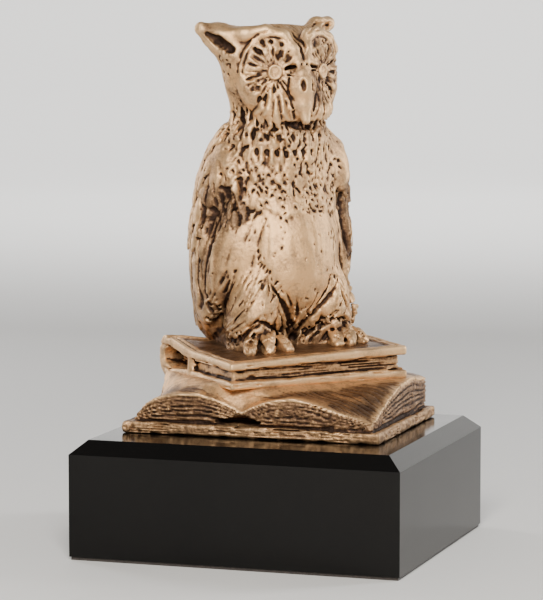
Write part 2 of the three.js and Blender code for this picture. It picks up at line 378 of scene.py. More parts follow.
def cast(name, clay, place, stain_and_shade_rule, tone_rule):
    """The finished mesh object of a clay, with where the stain, the painted shade and the rubbing fall as
    attributes.
    The fourth argument gives the extra stain and painted shade laid on each region, tone_rule(points) how
    brown and glossy it is."""
    points, quads = surface(clay)
    obj = link(bpy.data.objects.new(name, mesh_of(name, points, quads)))
    if 2 * len(quads) > FACE_LIMIT:
        thin = obj.modifiers.new("thin", "DECIMATE")
        thin.ratio = FACE_LIMIT / (2 * len(quads))
        evaluated = obj.evaluated_get(bpy.context.evaluated_depsgraph_get())
        thinned = bpy.data.meshes.new_from_object(evaluated)
        obj.modifiers.remove(thin)
        obj.data = thinned
    mesh = obj.data
    where = np.empty(len(mesh.vertices) * 3, np.float32)
    mesh.vertices.foreach_get("co", where)
    where = where.reshape(-1, 3).astype(float)
    fine, middle, wide = hollowness(clay, where)
    wash_and_shade = smoothstep(0.05, 0.72, 1.25 * fine + 0.95 * middle + 0.4 * wide)
    edge = smoothstep(0.02, 0.4, -0.8 * fine - 0.7 * middle)
    # extra darkening for each region, stain in some places and painted shade in others, laid over the wash
    extra = stain_and_shade_rule(where)
    wash_and_shade = np.clip(wash_and_shade + extra * (.35 + wash_and_shade), 0, 1.2)
    edge = edge * (1 - np.clip(extra, 0, .8))
    tone = tone_rule(where)
    for label, values in (("wash_and_shade", wash_and_shade), ("edge", edge), ("tone", tone)):
        mesh.attributes.new(label, "FLOAT", "POINT").data.foreach_set("value", values.astype(np.float32))
    mesh.transform(place)
    smooth(mesh)
    mesh.update()
    print(name, "faces", len(mesh.polygons), "from", 2 * len(quads))
    return obj


# ---------------------------------------------------------------- the owl
# x to the owl's left, -y where it looks, z above its footing. A chart angle is measured round the
# body's axis from the front, positive to the owl's left.
AXIS_Y = 2.0                        # the chart's axis stands this far behind the owl's middle
ARC_LENGTH = math.radians(17)       # millimetres round the body for each degree of chart angle
CLEAR = 34                          # further out than any of the owl's surface
HEAD = turn_z(6)
# the left eye and the middle of its disc, before the head's turn, and how far the disc turns out
EYE = np.array([8.6, -11.8, 81.9])
DISC_CENTRE = np.array([9.2, -11.4, 81.3])
DISC_TURN = 26.0
# the photograph's line of sight, in the owl's frame: across it and along it
VIEW_TURN = math.radians(28)
SIDEWAYS = np.array([math.cos(VIEW_TURN), -math.sin(VIEW_TURN), 0])
INWARD = np.array([math.sin(VIEW_TURN), math.cos(VIEW_TURN), 0])
DOWN = np.array([0, 0, -1.0])
random = np.random.default_rng(11)


def on_head(points):
    """Points drawn on a head that looks straight ahead, carried to the turned head."""
    return np.asarray(points, float) @ HEAD.T


def mirrored(points, side):
    """Points drawn for the owl's left (side 1), or their mirror image (side -1)."""
    return np.asarray(points, float) * np.array([side, 1, 1])


def round_body(clay, angles, heights):
    """Surface points at chart angles in degrees and heights."""
    a = np.radians(np.asarray(angles, float))
    out = np.stack([np.sin(a), -np.cos(a), 0 * a], -1)
    heights = np.broadcast_to(np.asarray(heights, float), a.shape)
    start = out * CLEAR + np.stack([0 * a, 0 * a + AXIS_Y, heights], -1)
    return clay.land(start, -out)


def spaced(stops, count):
    """Points spaced evenly through a list of stops, as one array for each coordinate."""
    stops = np.asarray(stops, float)
    t = np.linspace(0, len(stops) - 1, count)
    return [np.interp(t, range(len(stops)), column) for column in stops.T]


def chain(clay, stops, count=6):
    """Surface points along a path through chart stops (angle, height)."""
    return round_body(clay, *spaced(stops, count))


def seen(clay, stops, count):
    """Surface points met from the owl's front right, through stops (sideways distance, height)."""
    sideways, heights = spaced(stops, count)
    start = np.outer(sideways, SIDEWAYS) + np.outer(heights, (0, 0, 1)) - CLEAR * INWARD
    return clay.land(start, INWARD)


def profile(count, at, values):
    """count radii or depths along a path, given at some of its points."""
    return np.interp(np.arange(count), at, values)


def feather(clay, tip, root, width, thick, lift, blend=0.2):
    """A flat feather lying on the surface from root to tip, its tip standing proud."""
    tip, root = np.asarray(tip, float), np.asarray(root, float)
    out = clay.normal(tip[None])[0]
    lifted = tip + out * lift
    sunk = root - out * thick * 0.6
    along = unit(lifted - sunk)
    across = unit(np.cross(along, out))
    normal = np.cross(across, along)
    half = np.linalg.norm(lifted - sunk) / 2
    turn = np.stack([across, along, normal], -1)
    clay.add(ellipsoid((lifted + sunk) / 2, (width / 2, half, thick), turn), blend, 2.0)


def owl_masses(clay):
    """The body, wings and thighs, as smooth lumps."""
    clay.add(ellipsoid((0, 3, 33), (20.5, 17.5, 33)), 2)
    clay.add(ellipsoid((0, -4, 25), (16, 15.5, 22)), 5)
    clay.add(ellipsoid((0, 1.5, 54), (17.3, 13.8, 14.5)), 4)
    clay.add(ellipsoid((0, 15, 16), (13, 8, 15), turn_x(14)), 4)
    clay.add(ellipsoid((0, 2, 62), (16.8, 14.4, 9.5)), 3)
    clay.add(limb((0, 1.5, 60), (0, 1.0, 74), 14.2, 13.0), 3)
    clay.add(block((-17, -9.5, -4), (17, 14, 4), 2), 3)
    for side in (-1, 1):
        # the wing and the shoulder, a little fuller on the owl's left
        if side < 0:
            clay.add(ellipsoid((-18.6, 4.5, 34), (5.8, 12.5, 28.5), turn_x(3.5) @ turn_y(5)), 1.2)
            clay.add(ellipsoid((-13.0, 4, 51.5), (7.2, 9.5, 9.5)), 3)
        else:
            clay.add(ellipsoid((19.7, 4.5, 33), (6.1, 13.0, 28.0), turn_x(3.5)), 1.2)
            clay.add(ellipsoid((15.3, 3, 52), (8.0, 10.0, 12.5)), 3)
        clay.add(ellipsoid((side * 16.5, 9.5, 13), (5.2, 8, 13), turn_x(17)), 1.5)
        clay.add(ellipsoid((side * 12, -7.5, 13), (7.8, 8.8, 13), turn_y(-8 * side)), 2.2)
        clay.add(limb((side * 12.5, -6.5, 0), (side * 12.5, -6.5, 6), 7.2, 7.2), 2)
    # the owl's right flank, filled out to the wing
    clay.add(ellipsoid((-15, -5, 29), (5.5, 5.8, 13)), 3)


def owl_skull(clay):
    """The head with its uneven ears, the backing of the discs and the cheeks."""
    clay.add(ellipsoid(on_head((0, 1, 79)), (15.4, 14.2, 14.6), HEAD), 2)
    clay.add(ellipsoid(on_head((0, 1.5, 87.5)), (16.5, 10.5, 7.3), HEAD), 3)
    clay.add(limb(on_head((-15, 1.5, 91.0)), on_head((15, 1.5, 91.0)), 3.6, 3.6), 4)
    for side in (-1, 1):
        disc = HEAD @ turn_z(DISC_TURN * side)
        centre = mirrored(DISC_CENTRE, side)
        out = turn_z(DISC_TURN * side) @ (0, -1, 0)
        if side < 0:
            clay.add(ellipsoid(on_head(centre - 4.6 * out), (10.6, 5, 12.6), disc), 1.8)
            ear = on_head([(-12.5, 1.5, 87.5), (-18.6, 3.4, 91.8), (-23.6, 5.4, 94.6)])
            clay.add(limb(ear[0], ear[1], 6.6, 4.6), 3)
            clay.add(limb(ear[1], ear[2], 4.6, 2.1), 1.2)
            clay.add(ellipsoid(on_head((-5.0, -8.2, 70.8)), (7.0, 5.4, 6.0), disc), 1.5)
        else:
            clay.add(ellipsoid(on_head(centre - 4.6 * out + (.9, 0, -1.3)), (11.3, 5.6, 13.6), disc), 1.8)
            ear = on_head([(11.5, 2.5, 88.0), (18.2, 5.4, 94.3), (23.2, 7.0, 95.5)])
            clay.add(limb(ear[0], ear[1], 5.4, 3.4), 2.4)
            clay.add(limb(ear[1], ear[2], 3.3, 2.3), .8)
            clay.add(ellipsoid(on_head((6.5, -8.2, 70.0)), (7.5, 5.8, 6.2), disc), 1.5)
        cheek = on_head(mirrored([(16.2, -.5, 87.5), (14.4, 1.0, 80), (11.6, 2, 68)], side))
        bar(clay, cheek, (3.7, 2.8, 2.4), 3)


def owl_face(clay):
    """The facial discs, brows and eyes."""
    for side in (-1, 1):
        dish = HEAD @ turn_z(DISC_TURN * side)
        out = dish @ (0, -1.0, 0)
        middle = mirrored(DISC_CENTRE, side) + ((.6, 0, -.6) if side > 0 else (0, 0, 0))
        clay.cut(ellipsoid(on_head(middle) + 4.2 * out, (8.9 + .5 * (side > 0), 5.0, 11.2), dish), 0.6)
    clay.relief(disc_plumage)
    for side in (-1, 1):
        dish = HEAD @ turn_z(DISC_TURN * side)
        out, inward = dish @ (0, -1.0, 0), dish @ (-float(side), 0, 0)
        up = np.array([0, 0, 1.0])
        centre = on_head(mirrored(DISC_CENTRE, side))
        eye = on_head(mirrored(EYE, side))

        def disc_point(angle, reach, wide=9.5, tall=11.7, about=centre):
            """Surface points at angles from straight up, as shares of the disc's own size."""
            a = np.radians(angle)
            flat = about + np.outer(np.sin(a) * reach * wide, inward) + np.outer(np.cos(a) * reach * tall, up)
            return clay.land(flat + out * 7, -out)

        def from_eye(angle, reach):
            """Surface points at angles from straight up and distances from the eye."""
            return disc_point(angle, np.asarray(reach), 1.0, 1.0, eye)

        eye_seat = from_eye([0.0], [0.0])[0]
        turns = np.linspace(-180, 180, 41)
        ragged = 1 + .03 * np.sin(turns * .13 + side) + .02 * np.sin(turns * .31)
        proud = np.interp(turns, (-180, -160, -120, -60, 20, 60, 110, 140, 180),
                          (.0, .05, .12, .35, .5, .2, .1, .0, .0))
        clay.ridge(disc_point(turns, ragged), .3 + .5 * proud, proud, 0.3)

        # wells: angle from straight up towards the beak, nearest and furthest distance from the
        # eye, radius, depth
        wells = [(-22, 8.6, 9.8, .65, 1.1), (-37, 5.8, 9.0, .95, 1.4), (-50, 4.6, 8.2, .38, .8),
                 (-61, 3.9, 8.6, .34, .8), (-73, 4.6, 8.4, .30, .7), (-90, 3.5, 7.6, .45, .9),
                 (-103, 5.6, 8.9, .8, 1.3), (-119, 4.0, 6.2, .62, 1.1), (-122, 7.0, 9.3, .8, 1.2),
                 (-134, 3.3, 5.2, .5, .9), (-136, 6.2, 8.6, .75, 1.2), (-148, 4.4, 7.2, .55, 1.0),
                 (-149, 8.4, 10.2, .6, 1.1), (-161, 4.9, 9.4, .42, .9), (-96, 3.6, 5.2, .4, .8),
                 (-178, 3.7, 7.2, .5, .8), (172, 8.4, 9.4, .42, .8),
                 (152, 3.6, 7.4, .45, .8), (139, 4.0, 6.8, .5, .8), (124, 5.2, 8.2, .38, .7),
                 (104, 3.6, 4.3, .35, .6), (92, 4.0, 5.0, .4, .7), (84, 4.6, 8.3, .95, 1.5),
                 (72, 3.7, 7.0, .85, 1.3), (43, 4.2, 6.4, .85, 1.3), (36, 7.2, 8.4, .6, 1.2),
                 (13, 3.9, 6.6, .95, 1.3), (14, 8.2, 9.4, .6, 1.2), (-5, 8.8, 9.8, .6, 1.3),
                 (-6, 4.0, 7.2, .42, .9)]
        for angle, near, far, radius, depth in wells:
            if side > 0:
                angle = angle + random.uniform(-7, 7)
                near, far = near + random.uniform(-.5, .4), far + random.uniform(-.3, .9)
            for split in ((-.32, .32) if radius > .7 else (0,)):
                reach = np.linspace(near - .4, far + random.uniform(-.3, .6), 5)
                spread = split * 57 * radius / reach
                bend = angle + spread + random.uniform(-5, 5) * np.linspace(0, 1, 5)
                path = from_eye(bend, reach)
                shape = random.uniform(.7, 1.3, 5) * (.66 if split else .9)
                clay.gouge(path, radius * shape * np.array([.35, .8, 1.1, 1.05, .7]),
                           .8 * depth * shape * np.array([.25, .7, 1, 1, .6]), 0.08)
        # fine rays between them
        for angle in np.arange(-172, 180, 17.0):
            reach = np.linspace(3.4, random.uniform(6.5, 9.0), 4)
            path = from_eye(np.full(4, angle + random.uniform(-5, 5)), reach)
            clay.gouge(path, np.array([.16, .22, .2, .14]), .32, 0.1)
        # the beard: tufts that hang from under the eye beside the beak
        for angle, start, length in ((-168, 5.5, 7.5), (178, 6.5, 8), (166, 5.5, 9), (154, 8.5, 7),
                                     (-158, 9.5, 4)):
            reach = np.linspace(start, start + length, 5)
            path = from_eye(np.full(5, float(angle)) + random.uniform(-3, 3, 5), reach)
            clay.ridge(path, np.array([.4, .7, .9, 1.0, .6]), .5, 0.4)
            path = from_eye(np.full(5, angle + 6.0), reach + 1)
            clay.gouge(path, np.array([.2, .3, .3, .3, .2]), [.1, .22, .25, .3, .2], 0.15)

        # the eye: a smooth oval dome inside a raised ring
        oval = np.linspace(0, 2 * np.pi, 25)
        clay.add(ellipsoid(eye_seat - 0.3 * out, (2.2, 1.1, 2.4), dish), 0.4)
        ring = eye_seat + np.outer(np.cos(oval) * 1.75, inward) + np.outer(np.sin(oval) * 1.95, up)
        ring = ring + 0.6 * out
        bar(clay, ring, np.full(25, 0.38), 0.1)
        clay.cut(ellipsoid(eye_seat + 1.1 * out, (1.4, 0.8, 1.6), dish), 0.05)
        clay.add(ellipsoid(eye_seat + 0.05 * out, (1.25, 0.75, 1.45), dish), 0.0)

        # the brow, from the ear over the disc and down to the beak
        brow = [(19.0, 0.8, 92.4), (14.2, -4.2, 93.0), (8.8, -7.4, 93.9), (4.6, -9.8, 92.6),
                (2.3, -12.0, 88.6), (1.3, -13.6, 84.2)]
        if side > 0:
            brow[:3] = [(16.8, -4.0, 88.2), (13.8, -5.6, 91.2), (8.8, -7.8, 92.9)]
        brow = on_head(mirrored(brow, side))
        bar(clay, brow, (2.3, 2.2, 1.9, 1.8, 1.5, 0.8), 1.2)
        # two engraved arcs over the disc, under the brow
        for spread, width, last in ((1.08, .36, -8), (.93, .3, 30)):
            arc = np.linspace(-88, last, 16)
            arc = disc_point(arc, spread + random.uniform(-.012, .012, 16))
            clay.gouge(arc, width * random.uniform(.6, 1.2, 16), width * random.uniform(.7, 1.6, 16), 0.12)

        # the ear's inner groove
        groove = [(23.4, 3.2, 93.4), (21.2, 0.8, 91.5), (18.4, -1.8, 89.4)]
        if side > 0:
            groove = [(22.6, 4.0, 95.6), (19.8, 3.0, 94.4), (17.0, 2.0, 93.4)]
        groove = on_head(mirrored(groove, side))
        down = on_head(mirrored([(0.25, -0.85, -0.35)] * 3, side))
        groove = clay.land(groove + 6 * down, -down)
        clay.gouge(groove, [0.8, 1.7, 1.3], [1.1, 2.2, 1.7], 0.3)


def owl_ear_streaks(clay):
    """Streaks on the front of the left ear."""
    for stops, radius in (([(9.8, 94.8), (12.2, 96.2), (15.0, 96.6)], .5),
                          ([(11.6, 94.0), (13.6, 94.7), (15.8, 95.2)], .45),
                          ([(9.4, 93.4), (11.0, 95.2), (12.4, 97.0)], .3),
                          ([(13.4, 97.2), (14.6, 96.0), (15.8, 94.2)], .28)):
        path = seen(clay, stops, 6)
        clay.gouge(path, radius * np.array([.5, .9, 1.1, 1, .8, .5]), radius * random.uniform(.7, 1.6, 6), .1)


def owl_beak(clay):
    """The beak with its nostrils, the creases beside it and the furrows above it."""
    beak = on_head([(0, -13.2, 83.8), (0, -12.9, 80.6), (0, -12.5, 77.6), (0, -13.2, 72.6), (0, -15.3, 67.4)])
    bar(clay, beak[:2], (1.0, 3.2), 0.2)
    bar(clay, beak[1:], (3.2, 4.6, 3.3, 1.2), 0.9)
    front = on_head((0, -1.0, 0))
    for side in (-1, 1):
        hole = on_head([(side * 1.5, -26, 79.4), (side * 1.7, -26, 78.1), (side * 1.6, -26, 76.8)])
        hole = clay.land(hole, -front)
        for turn in np.radians(np.linspace(0, 330, 12)):
            lip = on_head((side * 1.65 + 1.25 * math.sin(turn), -26, 78.1 + 2.0 * math.cos(turn)))
            lip = clay.land(lip[None], -front)
            clay.ridge(np.concatenate([lip, lip + (0, 0, .4)]), .35, .16, 0.3)
        clay.gouge(hole, [0.5, 0.85, 0.7], [0.6, 1.2, 0.9], 0.2)
        rim = on_head([(side * 3.9, -24, 82.0), (side * 5.0, -24, 78.6), (side * 4.9, -24, 76.0),
                       (side * 4.1, -24, 72.0), (side * 2.4, -24, 67.6)])
        rim = clay.land(rim, -front)
        clay.gouge(rim, [0.35, 0.4, 0.45, 0.45, 0.4], [0.4, 0.55, 0.65, 0.6, 0.5], 0.12)
        pit = on_head([(side * 5.0, -24, 83.0), (side * 2.6, -24, 83.3), (side * 0.9, -24, 84.2)])
        pit = clay.land(pit, -front)
        clay.gouge(pit, [0.9, 0.8, 0.5], [1.4, 1.3, 0.9], 0.2)
    # the furrow and its lines between the brows
    for x0, x1, z0, z1 in ((0.1, 0.2, 93.0, 85.0), (-1.6, -0.7, 93.4, 87.6), (1.9, 0.8, 93.6, 87.8)):
        furrow = [(x, -24, z) for x, z in zip(np.linspace(x0, x1, 5), np.linspace(z0, z1, 5))]
        furrow = clay.land(on_head(furrow), -front)
        clay.gouge(furrow, [.3, .45, .5, .45, .3], [.35, .6, .7, .6, .3], 0.25)


def owl_ruff(clay):
    """The collar: a deep shadow under the chin and rows of arched hollows between feathers."""
    chin = chain(clay, [(-18, 66.6), (0, 65.8), (20, 65.6), (40, 66.2), (60, 67.2)], 14)
    clay.gouge(chin, profile(14, (0, 3, 10, 13), (.4, 1.3, 1.4, .6)),
               profile(14, (0, 3, 10, 13), (.5, 1.7, 1.6, .7)), 0.5)
    nape = [(-100, 67.0), (-130, 67.5), (-160, 68), (-200, 68), (-235, 68), (-262, 67.5)]
    clay.gouge(chain(clay, nape, 20), 1.3, 0.5, 1.0)
    scatter(clay, 46, ((-24, 62), (62.5, 68)), (-3, 3), (.8, 2.2), (.25, .5), (.4, .9))
    # the long hollow beside the cheek, and the furrows around it
    clay.gouge(chain(clay, [(-70, 71.0), (-68, 67.5), (-69, 63.4)], 6), [.5, 1.0, 1.35, 1.3, 1.1, .6],
               [.7, 1.8, 2.4, 2.2, 1.6, .6], 0.2)
    for angle, top, low in ((-78, 70, 64), (-84, 69, 62), (-60, 66, 61), (-91, 68, 61), (-98, 69, 62)):
        path = chain(clay, [(angle, top), (angle + 3, low)], 5)
        clay.gouge(path, [.2, .45, .55, .5, .3], [.2, .6, .8, .6, .2], 0.15)
    # each row's height, and the angle, length and radius of its holes
    rows = (
        (61.8, [(-66, 3.4, .85), (-50, 2.2, .85), (-36, 1.4, .65), (-21, 1.9, .85), (-5, 1.8, .75),
                (9, 1.7, .8), (22, 1.5, .7), (33, 1.8, .8), (50, 1.8, .8), (66, 1.6, .8)]),
        (57.4, [(-72, 1.2, .6), (-60, 1.3, .7), (-47, 1.9, .75), (-36, 1.7, .8), (-25, 1.5, .85),
                (-14.5, 1.6, .85), (-4, 1.3, .75), (8.5, 1.4, .75), (20, 1.5, .65), (31, 1.4, .7),
                (43, 1.6, .75), (57, 1.4, .7)]),
    )
    for height, holes in rows:
        for angle, length, radius in holes:
            rise = height + 1.6 * abs(angle / 60) ** 2 + random.uniform(-.3, .3)
            length = .62 * length
            path = chain(clay, [(angle, rise + length), (angle + random.uniform(-3, 3), rise - length)], 4)
            clay.gouge(path, 1.15 * radius * np.array([.95, 1.05, .9, .5]),
                       radius * np.array([.9, 1.25, .9, .25]), 0.15)
            bow = np.radians(np.linspace(-105, 105, 7))
            wide = 1.45 * radius / ARC_LENGTH
            arch = [(angle + wide * math.sin(t), rise + .1 + (length + .35) * math.cos(t)) for t in bow]
            clay.ridge(chain(clay, arch, 7), [.18, .28, .36, .38, .36, .28, .18],
                       [.1, .22, .32, .34, .32, .22, .1], .15)
        for (before, _, _), (after, _, _) in zip(holes[:-1], holes[1:]):
            middle = (before + after) / 2
            rise = height + 1.6 * abs(middle / 60) ** 2
            low_end = (middle + random.uniform(-2, 2), rise - random.uniform(1.5, 4))
            path = chain(clay, [(middle, rise + 1.4), low_end], 4)
            clay.ridge(path, [.4, .6, .6, .35], [.3, .5, .4, .1], 0.3)
    # ruffled feathers under the discs
    for angle, height, length in ((-58, 68.5, 4), (-48, 66.8, 3.4), (-38, 66.2, 3.0), (-29, 65.6, 3.0),
                                  (-20, 65.8, 2.4), (40, 67, 3), (50, 67.5, 3), (60, 68, 3)):
        path = chain(clay, [(angle, height + length / 2), (angle + 2, height - length / 2)], 4)
        clay.gouge(path, [.3, .7, .75, .5], [.4, 1.2, 1.2, .5], 0.15)
    for angle in (-63, -55, -46, -38, -31, -24, -16):
        top, low = 67.5 + random.uniform(-1, 1), 64 + random.uniform(-.8, .8)
        path = chain(clay, [(angle, top), (angle + random.uniform(-5, 4), low)], 4)
        clay.ridge(path, [.5, .8, .7, .4], [.4, .6, .4, .1], 0.3)


def scatter(clay, count, region, lean, length, radius, depth, taper=(.5, 1, .8, .3), steps=4):
    """Random short cuts within a chart region (angles, heights), each with a lean, length, radius
    and depth between two limits. Lean is in degrees of chart angle for each millimetre down."""
    angles, heights, sizes = (random.uniform(*limits, count) for limits in (*region, length))
    paths = []
    for angle, height, size in zip(angles, heights, sizes):
        slope = random.uniform(*lean)
        drop = size / math.hypot(1, slope * 0.34)
        paths.append(spaced([(angle, height), (angle + slope * drop, height - drop)], steps))
    cuts = round_body(clay, *np.swapaxes(paths, 0, 1))
    taper = np.interp(np.linspace(0, 1, steps), np.linspace(0, 1, len(taper)), taper)
    for cut in cuts:
        clay.gouge(cut, random.uniform(*radius) * taper, random.uniform(*depth) * taper, 0.12)


def chart_of(points):
    """Chart angle in degrees and height."""
    x, y, z = points.T
    return np.degrees(np.arctan2(x, AXIS_Y - y)), z


def within(value, low, high, soft):
    """1 between low and high, falling to 0 over soft to either side."""
    return smoothstep(low - soft, low + soft, value) * (1 - smoothstep(high - soft, high + soft, value))


def wing_front(angle, z):
    """Chart angle of the front edge of the wing's hollow, further back on the owl's right wing."""
    right = np.interp(z, (10, 22, 30, 34, 38, 42, 47, 52), (92, 86, 80, 66, 50, 54, 66, 84))
    left = np.interp(z, (10, 18, 30, 36, 43, 52), (79, 79, 76, 65, 61, 69))
    return np.where(angle < 0, right, left)


def combed(across, along, width, length, seed, sway=.8):
    """Noise drawn out into streaks of a width and length."""
    p = np.stack([across / width, along / length, 0 * along], -1)
    p[:, 0] += sway * noise(p * (.35, .9, 1), 1, seed + 1)
    return noise(p, 1, seed)


def owl_plumage(points):
    """The feathers' grain, combed its own way on each part of the body."""
    angle, z = chart_of(points)
    turn = abs(angle)
    across = angle * ARC_LENGTH
    out = np.zeros(len(points))

    def lay(mask, rule):
        """Lowers the skin by mask x rule(millimetres round the body, height, degrees from the front)."""
        where = mask > .01
        if where.any():
            out[where] -= mask[where] * rule(across[where], z[where], turn[where])

    def breast(a, h, t):
        drift = a * (1 + .006 * (50 - h))
        leaf = combed(drift, h, 1.5, 3.0, 31, 1.2)
        hair = combed(drift, h, .55, 2.6, 33)
        return .10 * smoothstep(.2, .6, leaf) + .12 * smoothstep(.2, .5, hair) - .03
    lay(within(z, 41.5, 58, 1.2) * (1 - smoothstep(66, 74, turn)), breast)

    def collar(a, h, t):
        tuft = combed(a, h, 1.0, 1.7, 35, 1.4)
        return .55 * smoothstep(.1, .5, tuft) + .28 * smoothstep(.1, .5, combed(a, h, .5, 1.6, 37)) - .15
    lay(within(z, 58.5, 66.5, 1) * (1 - smoothstep(80, 96, turn)), collar)

    def belly(a, h, t):
        return .10 * smoothstep(.0, .6, combed(a - .02 * h * np.sign(a), h, .9, 6, 39))
    lay(within(z, 4, 41, 2) * (1 - smoothstep(36, 44, turn)), belly)

    def flank(a, h, t):
        curve = t + np.interp(h, (0, 4, 8, 12, 20, 42), (0, 16, 30, 40, 52, 72))
        sweep = combed(curve * ARC_LENGTH, h + .25 * t, .8, 5.0, 41)
        near_foot = 1 - smoothstep(8, 26, h)
        pits = combed(curve * ARC_LENGTH, h + .25 * t, .62, 1.6, 43)
        return ((.14 + .12 * near_foot) * smoothstep(.1, .6, sweep)
                + (.3 + .35 * near_foot) * smoothstep(.4 - .16 * near_foot, .7, pits))
    lay(within(z, 3, 42, 2) * within(turn, 38, wing_front(angle, z) - 3, 3), flank)

    def hollow(a, h, t):
        quill = combed(a + .05 * h * np.sign(a), h, 1.5, 9, 45)
        hatch = combed(a, h, .8, 2.2, 47, 1.5)
        upper = smoothstep(28, 38, h)
        thin = combed(a, h, .6, 5, 46)
        return (.4 * smoothstep(.0, .5, quill) + (.15 + .5 * upper) * smoothstep(.0, .5, hatch)
                + .35 * smoothstep(.1, .5, thin) - .1)
    far = np.interp(z, (10, 20, 29, 38, 44, 52), (80, 84, 88, 93, 96, 90)) + 8 * (angle < 0) * (z < 32)
    lay(within(z, 11, 50, 2.5) * within(turn, wing_front(angle, z), far, 1.6), hollow)

    def outer(a, h, t):
        pits = smoothstep(.5, .75, combed(a, h, .9, 1.2, 51))
        return .08 * smoothstep(.1, .6, combed(a, h, 1.6, 14, 49)) + .2 * pits
    lay(within(z, 8, 56, 2) * (turn > far), outer)

    def head(a, h, t):
        hair = smoothstep(.2, .6, combed(a, h, .7, 4, 55))
        return .45 * smoothstep(.42, .7, combed(a, h, .9, 1.1, 53)) + .2 * hair
    lay(within(z, 66, 92, 2) * smoothstep(62, 72, turn), head)
    return out


def disc_plumage(points):
    """Thin rays round each eye."""
    out = np.zeros(len(points))
    for side in (-1, 1):
        facing = HEAD @ turn_z(DISC_TURN * side)
        own = (points - on_head(mirrored(EYE, side))) @ facing
        x, y, z = own.T
        reach = np.hypot(x, z)
        mask = within(reach, 2.6, 9.8, .6) * (abs(y) < 4.5)
        near = mask > .01
        bearing = np.degrees(np.arctan2(x[near], z[near]))
        ray = combed(bearing / 11, reach[near], 1, 3.0, 57 + side, .5)
        hair = combed(bearing / 5, reach[near], 1, 2.2, 61 + side, .5)
        out[near] -= mask[near] * (.5 * smoothstep(.15, .6, ray) + .22 * smoothstep(.1, .5, hair) - .1)
    return out


def owl_breast(clay):
    """The breast's feathers and the pits between them."""
    # small leaf-shaped feathers
    for row, height in enumerate(np.arange(55.5, 41.5, -2.9)):
        for angle in np.arange(-76 + 4.5 * (row % 2), 66, 9.0):
            angle = angle + random.uniform(-2.8, 2.8)
            low = height - 1.6 + random.uniform(-1.1, 1.1)
            bend = random.uniform(-4, 4) - .04 * angle
            tip, root = round_body(clay, [angle + bend, angle], [low, low + random.uniform(3.6, 5.6)])
            feather(clay, tip, root, random.uniform(1.8, 3.0), .42, random.uniform(.0, .2), 0.2)
    # the ragged lower edge of the breast feathers
    for angle in np.arange(-58, 60, 8.2):
        angle = angle + random.uniform(-2, 2)
        low = 40.2 + 1.3 * math.sin(angle * .11) + random.uniform(-.7, .7)
        tip, root = round_body(clay, [angle, angle + random.uniform(-1, 1)], [low, low + 5.5])
        feather(clay, tip, root, random.uniform(2.6, 3.8), .55, .12, 0.7)
        if random.random() < .4:
            dark = chain(clay, [(angle - 3.2, low - .5), (angle, low - 1.1), (angle + 3.2, low - .4)], 4)
            clay.gouge(dark, [.16, .36, .4, .18], [.15, .5, .6, .15], 0.1)
    scatter(clay, 22, ((-50, 50), (38, 43)), (-6, 6), (.4, 1.3), (.18, .34), (.3, .6),
            (1, .9, .5))
    # arched pits, each under a raised rim
    for row, height in enumerate(np.arange(55.5, 39.5, -2.3)):
        for angle in np.arange(-76 + 4.2 * (row % 2), 64, 8.4):
            if random.random() < .18 + .02 * (height - 40):
                continue
            a, h = angle + random.uniform(-2.4, 2.4), height + random.uniform(-1, 1)
            wide, tall, tilt = random.uniform(1.5, 2.5), random.uniform(.5, 1.5), random.uniform(-.5, .5)
            arch = [(a + wide * t, h + tall * (1 - t * t) + tilt * t) for t in (-1, -.5, 0, .5, 1)]
            clay.gouge(chain(clay, arch, 5), [.14, .26, .33, .28, .14], [.15, .4, .55, .42, .12], 0.1)
            rim = [(a, h + 1.0) for a, h in arch]
            clay.ridge(chain(clay, rim, 5), [.2, .34, .4, .34, .2], [.05, .2, .3, .2, .05], 0.3)
    scatter(clay, 40, ((-76, 64), (41, 58)), (-6, 6), (.6, 1.8), (.2, .34), (.3, .6),
            (1, .9, .4))


def owl_belly(clay):
    """The smooth belly's few pits, and the furrows where it runs down between the legs."""
    scatter(clay, 30, ((-40, 42), (12, 38)), (-2, 2), (.2, .9), (.18, .34), (.25, .55),
            (.8, 1, .6))
    for angle, height in ((-37, 27), (-33, 22), (-24, 17), (-3, 12), (8, 12), (30, 20), (34, 33)):
        region = ((angle - 5, angle + 5), (height - 3.5, height + 3.5))
        scatter(clay, 9, region, (-3, 1), (.3, 1.6), (.2, .36), (.3, .7), (.8, 1, .6))
    # the belly runs to a point between the legs
    right = chain(clay, [(-31, 19.5), (-22, 14.5), (-13, 9.5), (-3, 3.5), (2, 0.5)], 12)
    clay.gouge(right, np.linspace(.3, 1.5, 12), np.linspace(.4, 2.4, 12), 0.4)
    left = chain(clay, [(36, 19), (25, 13.5), (16, 9), (8, 3.5), (4, .5)], 12)
    clay.gouge(left, np.linspace(.3, 1.4, 12), np.linspace(.3, 2.2, 12), 0.4)
    for a0, z0, a1, z1 in ((-18, 17, -4, 6), (-8, 15, 0, 5), (24, 17, 8, 6), (14, 16, 5, 6),
                           (30, 21, 12, 9), (40, 15, 15, 1), (36, 12, 20, .5), (33, 9, 25, .5),
                           (44, 12, 30, .5), (-24, 12, -12, .5), (-21, 9, -16, .5)):
        path = chain(clay, [(a0, z0), ((a0 + a1) / 2 + 1, (z0 + z1) / 2), (a1, z1)], 6)
        broken = random.uniform(.7, 1.3, 6)
        clay.gouge(path, np.array([.15, .3, .4, .5, .5, .4]) * broken,
                   np.array([.2, .5, .8, .9, .9, .7]) * broken, 0.2)


def hem_height(angle):
    """Height of the thigh feathers' hem, which arches over the foot."""
    return 6.0 * math.exp(-((angle - 37) / 11) ** 2)


